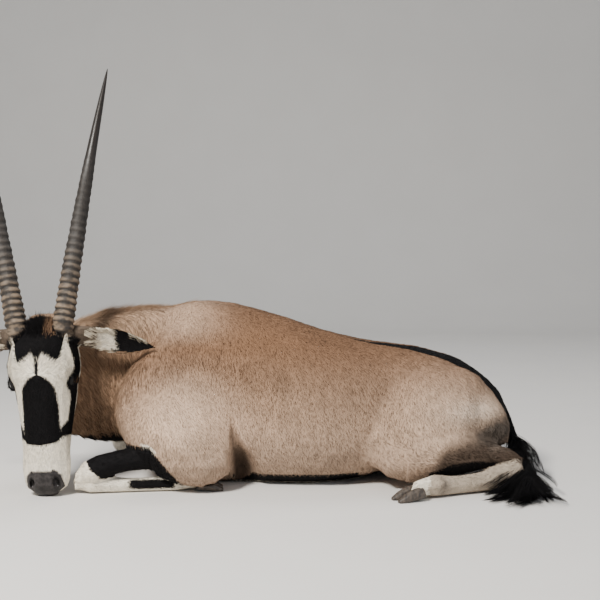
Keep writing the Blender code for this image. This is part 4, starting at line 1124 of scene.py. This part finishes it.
def makeTailHair():
    locks = tailSet["locks"]
    each = tailSet["hairsEach"] // 1
    count = locks * each
    table = easedRows(tailRows, 50)
    place = np.sort(rng.random(locks)) ** 0.85
    pick = np.clip(np.repeat(place, each) + rng.normal(0, 0.022, count), 0, 0.999) * 49
    low = pick.astype(int)
    part = (pick - low)[:, None]
    rows = table[low] * (1 - part) + table[np.minimum(low + 1, 49)] * part
    ahead = unit(table[np.minimum(low + 1, 49), :3] - table[np.maximum(low - 1, 0), :3])
    side = unit(np.cross(ahead, np.array((0.0, 0.0, 1.0))))
    over = np.cross(side, ahead)
    turn = np.repeat(rng.uniform(0, 2 * np.pi, locks), each) + rng.normal(0, 0.30, count)
    out = side * np.cos(turn)[:, None] + over * np.sin(turn)[:, None]
    root = rows[:, :3] + out * rows[:, 3:4] * 0.9
    heading = ahead * 0.80 + out * np.repeat(rng.uniform(0.40, 0.95, locks), each)[:, None]
    heading = unit(heading + rng.normal(0, 0.07, (count, 3)))
    length = tailSet["length"] * np.repeat(rng.uniform(0.62, 1.08, locks), each)
    length = length * rng.uniform(0.8, 1.05, count) * (1.0 - 0.30 * (pick / 49))
    steps = tailSet["steps"]
    paths = np.empty((count, steps + 1, 3))
    paths[:, 0] = root
    lockDrift = np.repeat(rng.normal(0, 1, (locks, 3)), each, axis=0)
    bed = np.repeat(rng.uniform(0.002, 0.034, locks), each) * rng.uniform(0.3, 1.0, count)
    sweep = np.repeat(rng.uniform(-0.62, 0.14, locks), each)
    for k in range(steps):
        here = paths[:, k]
        heading = heading + np.array(tailSet["drift"]) + lockDrift * np.array((0.08, 0.04, 0.02))
        heading[:, 0] += sweep
        heading[:, 0] -= 0.5 * smooth(here[:, 0], 0.795, 0.825)
        heading[:, 1] += 0.6 * smooth(-here[:, 1], 0.396, 0.412)
        stray = [latticeNoise(here, 0.03, seed) for seed in (51.0, 57.0, 61.0)]
        heading = unit(heading + 0.10 * np.stack(stray, axis=1))
        there = here + heading * (length / steps)[:, None]
        low = there[:, 2] < bed
        there[:, 2] = np.where(low, bed + (there[:, 2] - bed) * 0.06, there[:, 2])
        there[:, 2] = np.maximum(there[:, 2], tailSet["bed"])
        heading[:, 2] = np.where(low, heading[:, 2] * 0.3, heading[:, 2])
        paths[:, k + 1] = there
    centre = paths.reshape(locks, each, steps + 1, 3).mean(axis=1)
    pull = np.linspace(0, 1, steps + 1) ** 1.4 * tailSet["gather"]
    middle = np.repeat(centre, each, axis=0)
    paths = paths + (middle - paths) * pull[None, :, None]
    spots = nearestSkin(root)[2]
    marks = plainMarks(np.tile(np.array(tailSet["tone"]), (count, 1)), inside)
    across = unit(np.cross(heading, out))
    width = tailSet["width"] * rng.uniform(0.7, 1.25, count)
    tail = bladeMesh("tailHair", paths, across, width, 0.3, marks, spots, (1.0, 1.0, 0.8, 0.45))
    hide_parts("tail_tuft")


makeMane()
makePollTuft()
for earSide, earName in bothSides:
    makeEarHair(earSide, earName)
makeTailHair()
print("mane, ear and tail hair made")

# Horns with rings, and the short hair round their feet. Metres and degrees.
hornSet = {
    "length": 0.766, "radius": 0.0272, "base": (-0.112, 0.058, 0.020), "spread": 9.7, "lean": 4.5,
    "bow": 0.018, "sunk": 0.024, "rings": 27, "ringedShare": 0.62, "sides": 40, "ridge": 0.185,
    "steps": 230, "uneven": 0.0011,
    "dark": ((0.006, 0.005, 0.004), (0.024, 0.018, 0.014)),
    # pale on the ring crests: partly pale dirt and partly painted highlight
    "dirtAndHighlight": ((0.075, 0.053, 0.035), (0.185, 0.134, 0.090)),
    "worn": (0.044, 0.037, 0.032),
}
hornHairSet = {"hairs": 1000, "length": 0.0165, "width": 0.0011, "thick": 0.3, "steps": 3, "sink": 0.001}


def hornLine(side):  # foot, direction and front of a horn in the head's frame
    spread, lean = (math.sin(math.radians(hornSet[name])) for name in ("spread", "lean"))
    heading = Vector((-math.sqrt(1 - spread**2 - lean**2), side * spread, -lean))
    return Vector(mirrored(hornSet["base"], side)), heading, squareTo(Vector((0, 0, 1)), heading)


def hornAt(side, place):  # centre and smooth radius of the horn at a distance along it
    base, heading, forward = hornLine(side)
    share = min(0.9985, max(0.0, place / hornSet["length"]))
    root = min(1.0, max(0.0, (-0.004 - place) / 0.024))
    sunk = min(1.0, max(0.0, (0.034 - place) / 0.060))
    bow = hornSet["bow"] * math.sin(math.pi * share) - hornSet["sunk"] * sunk * sunk * (3 - 2 * sunk)
    radius = hornSet["radius"] * (1 - share**1.1) ** 0.62 * (1 - 0.42 * root * root)
    return base + heading * place + forward * bow, radius


def makeHorn(side, name):
    base, heading, forward = hornLine(side)
    steps = hornSet["steps"]
    rows = []
    ringed = hornSet["ringedShare"] * hornSet["length"] + 0.020
    rings = [-0.020 + ringed * (i / (hornSet["rings"] - 1)) ** 1.20 for i in range(hornSet["rings"])]
    for i in range(steps):
        place = -0.036 + (hornSet["length"] + 0.034) * (i / (steps - 1)) ** 1.06
        swell = 0.0
        for k, ring in enumerate(rings):
            gap = 0.0050 + 0.0044 * k / len(rings)
            away = (place - ring) / gap
            height = hornSet["ridge"] * (1 - 0.72 * (k / len(rings)) ** 1.5)
            away *= 0.66 if away > 0 else 1.25  # steeper below, so that each ring is undercut
            swell += height * math.exp(-(away**2) * 1.6)
        centre, radius = hornAt(side, place)
        radius *= 1 + swell
        rows.append((*centre, max(radius * 0.94, 0.0006), max(radius, 0.0006)))
    shape = sweepTube(rows, hornSet["sides"], up=tuple(forward))
    horn = pieceFrom(f"hornFine_{name}", shape)
    points = pointsOf(horn.data)
    normals = normalsOf(horn.data)
    away = (points - np.array(base)) @ np.array(heading)
    uneven = smooth(-away, -0.66 * hornSet["length"], -0.50 * hornSet["length"])
    coarse = latticeNoise(points * np.array((0.35, 1.0, 1.0)), 0.011, 13.0 + side)
    points = points + normals * (hornSet["uneven"] * coarse * uneven)[:, None]
    movePoints(horn.data, points)
    addAttribute(horn.data, "hornShare", np.clip(away / hornSet["length"], 0, 1))
    # The crest of each ring, set a little towards the tip, takes the pale paint as painted highlight;
    # the grooves keep the dark tone as painted shade.
    ridge = np.zeros(len(points))
    for k, ring in enumerate(rings):
        wide = 0.0056 + 0.0010 * k / len(rings)
        ridge = np.maximum(ridge, np.exp(-(np.abs((away - ring - 0.0016) / wide) ** 2.6)))
    addAttribute(horn.data, "hornRidge", ridge)
    horn.data.transform(headPlace)
    horn.data.shade_smooth()
    horn.data.materials.append(hornMaterial)
    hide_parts(f"horn_{name}")
    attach(horn, "root")


def hornPaint():
    paint = Paint("hornRinged", (0.05, 0.045, 0.04), 0.5)
    share = paint.attribute("hornShare")
    ridge = paint.attribute("hornRidge")
    grain = paint.noise((420.0, 420.0, 60.0), 3.0, 0.6)
    patch = paint.noise((38.0, 38.0, 60.0))
    # Pale on the ring crests towards the foot: partly pale dirt and partly painted highlight, leaving
    # the grooves dark as painted shade.
    low = share.between(0.16, 0.50, 1.0, 0.0)
    dirtAndHighlight = ridge * (0.45 + low * 0.55) * patch.between(0.26, 0.60, 0.35, 1.0)
    dirtAndHighlight = dirtAndHighlight * share.between(0.55, 0.70, 1.0, 0.0)
    dark = paint.mix(grain.between(0.3, 0.7), *hornSet["dark"])
    pale = paint.mix(patch.between(0.35, 0.65), *hornSet["dirtAndHighlight"])
    pale = paint.mix(share.between(0.08, 0.36), pale, hornSet["worn"])
    paint.feed(Base_Color=paint.mix(dirtAndHighlight.between(0.08, 0.85), dark, pale))
    paint.feed(Roughness=share.between(0.50, 0.72, 0.62, 0.26) + grain * 0.10)
    paint.feed(Normal=paint.bump(grain, 0.0006, 0.6))
    return paint.material


def makeHornHair(side, name):  # short hair that rises round the foot of the horn
    count = hornHairSet["hairs"]
    axis = np.array(headTurn @ hornLine(side)[1])
    first = unit(np.cross(axis, np.array((0.0, 1.0, 0.0)))[None, :])[0]
    second = np.cross(axis, first)
    turn = rng.uniform(0, 2 * np.pi, count)
    around = first * np.cos(turn)[:, None] + second * np.sin(turn)[:, None]
    feet = [hornAt(side, place) for place in rng.uniform(-0.032, -0.016, count)]
    centres = np.array([headPlace @ centre for centre, radius in feet])
    wide = np.array([radius for centre, radius in feet]) * 1.20
    roots, normals, spots, parts = nearestSkin(centres + around * wide[:, None])
    marks = coatMarks(roots, normals, parts)
    along = unit(axis * 0.70 + around * 0.30 + normals * 0.75 + rng.normal(0, 0.10, (count, 3)))
    sag = axis * 0.007 - normals * 0.003 + rng.normal(0, 0.001, (count, 3))
    length = hornHairSet["length"] * rng.uniform(0.5, 1.2, count)
    hair = plantHair(f"hornHair_{name}", hornHairSet, (roots, normals, spots), along, sag, length, marks)


hornMaterial = hornPaint()
for hornSide, hornName in bothSides:
    makeHorn(hornSide, hornName)
    makeHornHair(hornSide, hornName)
print("horns made")

# Wet eyes in dark lids, with lashes.
eyeSet = {
    "iris": (0.022, 0.010, 0.005), "fibres": (0.075, 0.035, 0.016), "white": (0.045, 0.030, 0.025),
    "pupil": (0.002, 0.002, 0.002), "pupilSize": (0.0068, 0.0038), "sink": 0.0016, "cornea": 0.055,
    "opening": 0.0200, "above": 0.0166, "below": 0.0150,  # half length and heights of the opening
    "rim": 0.0013, "lidWidth": 0.0056, "lashes": 110, "lashWidth": 0.0007,
}


def eyeFrame(name, lean):  # middle, half height and axes of an eye that looks along lean
    low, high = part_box(f"eye_{name}")
    axis = (headTurn @ Vector(lean)).normalized()
    along = squareTo(headTurn @ Vector((1.0, 0.0, 0.0)), axis)
    return (low + high) / 2, (high - low).z / 2, axis, along


def eyePaint(name, centre, axis, along):
    paint = Paint(f"eyeWet_{name}", eyeSet["iris"], 0.06)
    paint.feed(Coat_Weight=0.35, Coat_Roughness=0.03, Specular_IOR_Level=0.4)
    point = paint.make("ShaderNodeTexCoord", output="Object")
    away = paint.make("ShaderNodeVectorMath", {"operation": "SUBTRACT"}, {0: point, 1: tuple(centre)})

    def reach(direction):
        ends = {0: away, 1: tuple(direction)}
        return paint.make("ShaderNodeVectorMath", {"operation": "DOT_PRODUCT"}, ends, "Value")

    upright = axis.cross(along)
    wide, tall = reach(along) / eyeSet["pupilSize"][0], reach(upright) / eyeSet["pupilSize"][1]
    pupil = (wide * wide + tall * tall).between(0.8, 1.15, 1.0, 0.0)
    ring = (reach(along) * reach(along) + reach(upright) * reach(upright)) ** 0.5
    white = ring.between(0.0122, 0.0140)
    fibres = paint.noise((900.0, 900.0, 900.0))
    iris = paint.mix(fibres, eyeSet["iris"], eyeSet["fibres"])
    colour = paint.mix(white, paint.mix(pupil, iris, eyeSet["pupil"]), eyeSet["white"])
    paint.feed(Base_Color=colour)
    return paint.material


def rimPaint():
    paint = Paint("lidRim", (0.008, 0.0065, 0.006), 0.6)
    grain = paint.noise((500.0, 500.0, 500.0))
    paint.feed(Roughness=0.52 + grain * 0.30, Specular_IOR_Level=0.25)
    paint.feed(Normal=paint.bump(grain, 0.0006, 0.8))
    return paint.material


def makeEye(side, name):
    centre, radius, axis, along = eyeFrame(name, (0.05, side * 0.93, 0.30))
    centre, radius = centre - axis * eyeSet["sink"], radius * 0.965
    shape = bmesh.new()
    turn = axis.to_track_quat("Z", "Y").to_matrix().to_4x4()
    bmesh.ops.create_uvsphere(shape, u_segments=48, v_segments=32, radius=radius,
                              matrix=Matrix.Translation(centre) @ turn)
    for vertex in shape.verts:
        lean = (vertex.co - centre).normalized().dot(axis)
        vertex.co += (vertex.co - centre) * eyeSet["cornea"] * max(0.0, lean - 0.70) / 0.30
    eye = pieceFrom(f"eyeball_{name}", shape)
    eye.data.shade_smooth()
    eye.data.materials.append(eyePaint(name, centre, axis, along))
    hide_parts(f"eye_{name}")
    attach(eye, "root")


def makeLids(side, name):  # a dark rim round the opening, with lashes on its upper edge
    centre, radius, axis, along = eyeFrame(name, (0.0, side * 0.96, 0.26))
    radius += 0.0006
    upright = squareTo(headTurn @ Vector((0.0, 0.0, 1.0)), axis)
    rows, ups, count = [], [], 48
    for i in range(count):
        turn = 2 * math.pi * i / count
        upper = max(0.0, math.sin(turn))
        a = eyeSet["opening"] * math.cos(turn)
        b = eyeSet["above" if math.sin(turn) > 0 else "below"] * math.sin(turn)
        out = math.sqrt(max(0.00002, radius**2 - a * a - b * b))
        outward = (along * a + upright * b + axis * out).normalized()
        ups.append(outward)
        place = centre + outward * (radius + 0.0002)
        width, height = eyeSet["lidWidth"] * (0.75 + 0.30 * upper), eyeSet["rim"] * (1.0 + 0.3 * upper)
        rows.append((*place, width, height))
    shape = sweepTube(rows, 16, up=ups, closed=True)
    rim = pieceFrom(f"lidRim_{name}", shape)
    rim.data.shade_smooth()
    rim.data.materials.append(rimMaterial)
    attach(rim, "root")
    lashes = eyeSet["lashes"]
    turn = rng.uniform(0.12, 0.88, lashes) * math.pi
    a, b = 0.0150 * np.cos(turn), 0.0122 * np.sin(turn)
    out = np.sqrt(np.maximum(0.0, radius**2 - a * a - b * b)) + 0.0010
    basis = np.array((along, upright, axis))
    roots = np.array(centre) + np.stack([a, b, out], axis=1) @ basis
    heading = np.stack([a * 22, np.full(lashes, 0.35), np.full(lashes, 0.9)], axis=1)
    heading = unit(heading + rng.normal(0, 0.12, (lashes, 3))) @ basis
    sag = np.tile(np.array(upright) * 0.0022 - np.array(axis) * 0.0008, (lashes, 1))
    paths = hairPaths(roots, heading, sag, rng.uniform(0.006, 0.0105, lashes), 3)
    marks = plainMarks(np.full((lashes, 3), 0.01), inside)
    flat = unit(np.cross(heading, np.tile(np.array(axis), (lashes, 1))))
    widths, spots = np.full(lashes, eyeSet["lashWidth"]), nearestSkin(roots)[2]
    hair = bladeMesh(f"lashes_{name}", paths, flat, widths, 0.4, marks, spots)


rimMaterial = rimPaint()
for eyeSide, eyeName in bothSides:
    makeEye(eyeSide, eyeName)
    makeLids(eyeSide, eyeName)
print("eyes made")

# Hooves: rounded copies of the solids.
hoofSet = {
    "voxel": 0.0014, "swell": 0.0006, "floorGap": 0.0003,
    "bands": ((0.022, 0.017, 0.014), (0.090, 0.070, 0.054)), "scuffed": (0.140, 0.112, 0.088),
}


def hoofPaint():
    paint = Paint("hoofHorn", (0.10, 0.085, 0.07), 0.45)
    bands = paint.noise((180.0, 60.0, 60.0), 3.0, 0.6)
    grain = paint.noise((60.0, 400.0, 400.0), 3.0, 0.6)
    tone = paint.mix(bands.between(0.3, 0.7), *hoofSet["bands"])
    paint.feed(Base_Color=paint.mix(grain.between(0.55, 0.8), tone, hoofSet["scuffed"]))
    paint.feed(Roughness=0.35 + bands * 0.3, Normal=paint.bump(bands + grain * 0.5, 0.0008, 0.7))
    return paint.material


def makeHooves():
    material = hoofPaint()
    for name in sorted(nodes):
        if not name.startswith("hoof"):
            continue
        shape = bmesh.new()
        shape.from_mesh(nodes[name].data)
        bmesh.ops.remove_doubles(shape, verts=shape.verts, dist=1e-5)
        hoof = pieceFrom(name.replace("hoof", "claw"), shape)
        modified(hoof, "REMESH", mode="VOXEL", voxel_size=hoofSet["voxel"])
        modified(hoof, "SMOOTH", factor=0.5, iterations=4)
        points = pointsOf(hoof.data) + normalsOf(hoof.data) * hoofSet["swell"]
        points[:, 2] = np.maximum(points[:, 2], hoofSet["floorGap"])
        movePoints(hoof.data, points)
        hoof.data.shade_smooth()
        hoof.data.materials.append(material)
        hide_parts(name)
        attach(hoof, "root")


makeHooves()
print("hooves made")

# Floor, light and camera.
stageSet = {
    "floor": (0.74, 0.72, 0.69), "paper": ((0.72, 0.70, 0.67), (0.77, 0.75, 0.72)),
    "sky": (0.86, 0.90, 0.96), "skyStrength": 0.42,
    "camera": {"place": (0.1514, -2.9525, 0.665), "down": 3.27, "lens": 63.0},
    "lamps": {  # place, what it points at, size, power and colour
        "key": ((-1.5, -2.5, 3.0), (0.0, 0.0, 0.2), 0.8, 262, (1.0, 0.96, 0.90)),
        "fill": ((3.2, -2.4, 1.8), (0.2, 0.0, 0.2), 2.4, 22, (0.90, 0.95, 1.0)),
        "rim": ((0.8, 2.2, 4.4), (0.0, 0.0, 0.3), 2.0, 60, (1.0, 1.0, 1.0)),
    },
}


def makeStage():
    shape = bmesh.new()
    corners = [shape.verts.new(point) for point in ((-7, -4, 0), (7, -4, 0), (7, 4.5, 0), (-7, 4.5, 0))]
    shape.faces.new(corners)
    edge = [side for side in shape.edges if all(vertex.co.y > 4 for vertex in side.verts)]
    bmesh.ops.spin(shape, geom=edge, axis=(1, 0, 0), cent=(0, 4.5, 1.5), dvec=(0, 0, 0),
                   angle=math.pi / 2, steps=16)
    wall = [side for side in shape.edges if all(vertex.co.z > 1.45 for vertex in side.verts)]
    grown = bmesh.ops.extrude_edge_only(shape, edges=wall)["geom"]
    top = [item for item in grown if isinstance(item, bmesh.types.BMVert)]
    bmesh.ops.translate(shape, vec=(0, 0, 5), verts=top)
    bmesh.ops.recalc_face_normals(shape, faces=shape.faces)
    floor = pieceFrom("studioFloor", shape)
    floor.data.shade_smooth()
    paint = Paint("studioPaper", stageSet["floor"], 0.85)
    grain = paint.noise((3.0, 3.0, 3.0), 4.0)
    paint.feed(Base_Color=paint.mix(grain, *stageSet["paper"]))
    floor.data.materials.append(paint.material)


def addLamp(name, place, target, size, power, colour):
    lamp = bpy.data.lights.new(name, "AREA")
    lamp.shape = "DISK"
    lamp.size, lamp.energy, lamp.color = size, power, colour
    item = bpy.data.objects.new(name, lamp)
    item.location = place
    item.rotation_euler = (Vector(target) - Vector(place)).to_track_quat("-Z", "Y").to_euler()
    bpy.context.scene.collection.objects.link(item)


def makeCamera():
    view = stageSet["camera"]
    camera = bpy.data.cameras.new("camera")
    camera.lens, camera.sensor_width = view["lens"], 36.0
    item = bpy.data.objects.new("camera", camera)
    item.location = view["place"]
    item.rotation_euler = (math.radians(90 - view["down"]), 0, 0)
    bpy.context.scene.collection.objects.link(item)
    bpy.context.scene.camera = item


makeStage()
for lampName, lampValues in stageSet["lamps"].items():
    addLamp(lampName, *lampValues)
world = bpy.data.worlds.new("studio")
bpy.context.scene.world = world
world.use_nodes = True
sky = world.node_tree.nodes["Background"]
sky.inputs["Color"].default_value = (*stageSet["sky"], 1.0)
sky.inputs["Strength"].default_value = stageSet["skyStrength"]
makeCamera()
print("stage and camera set")
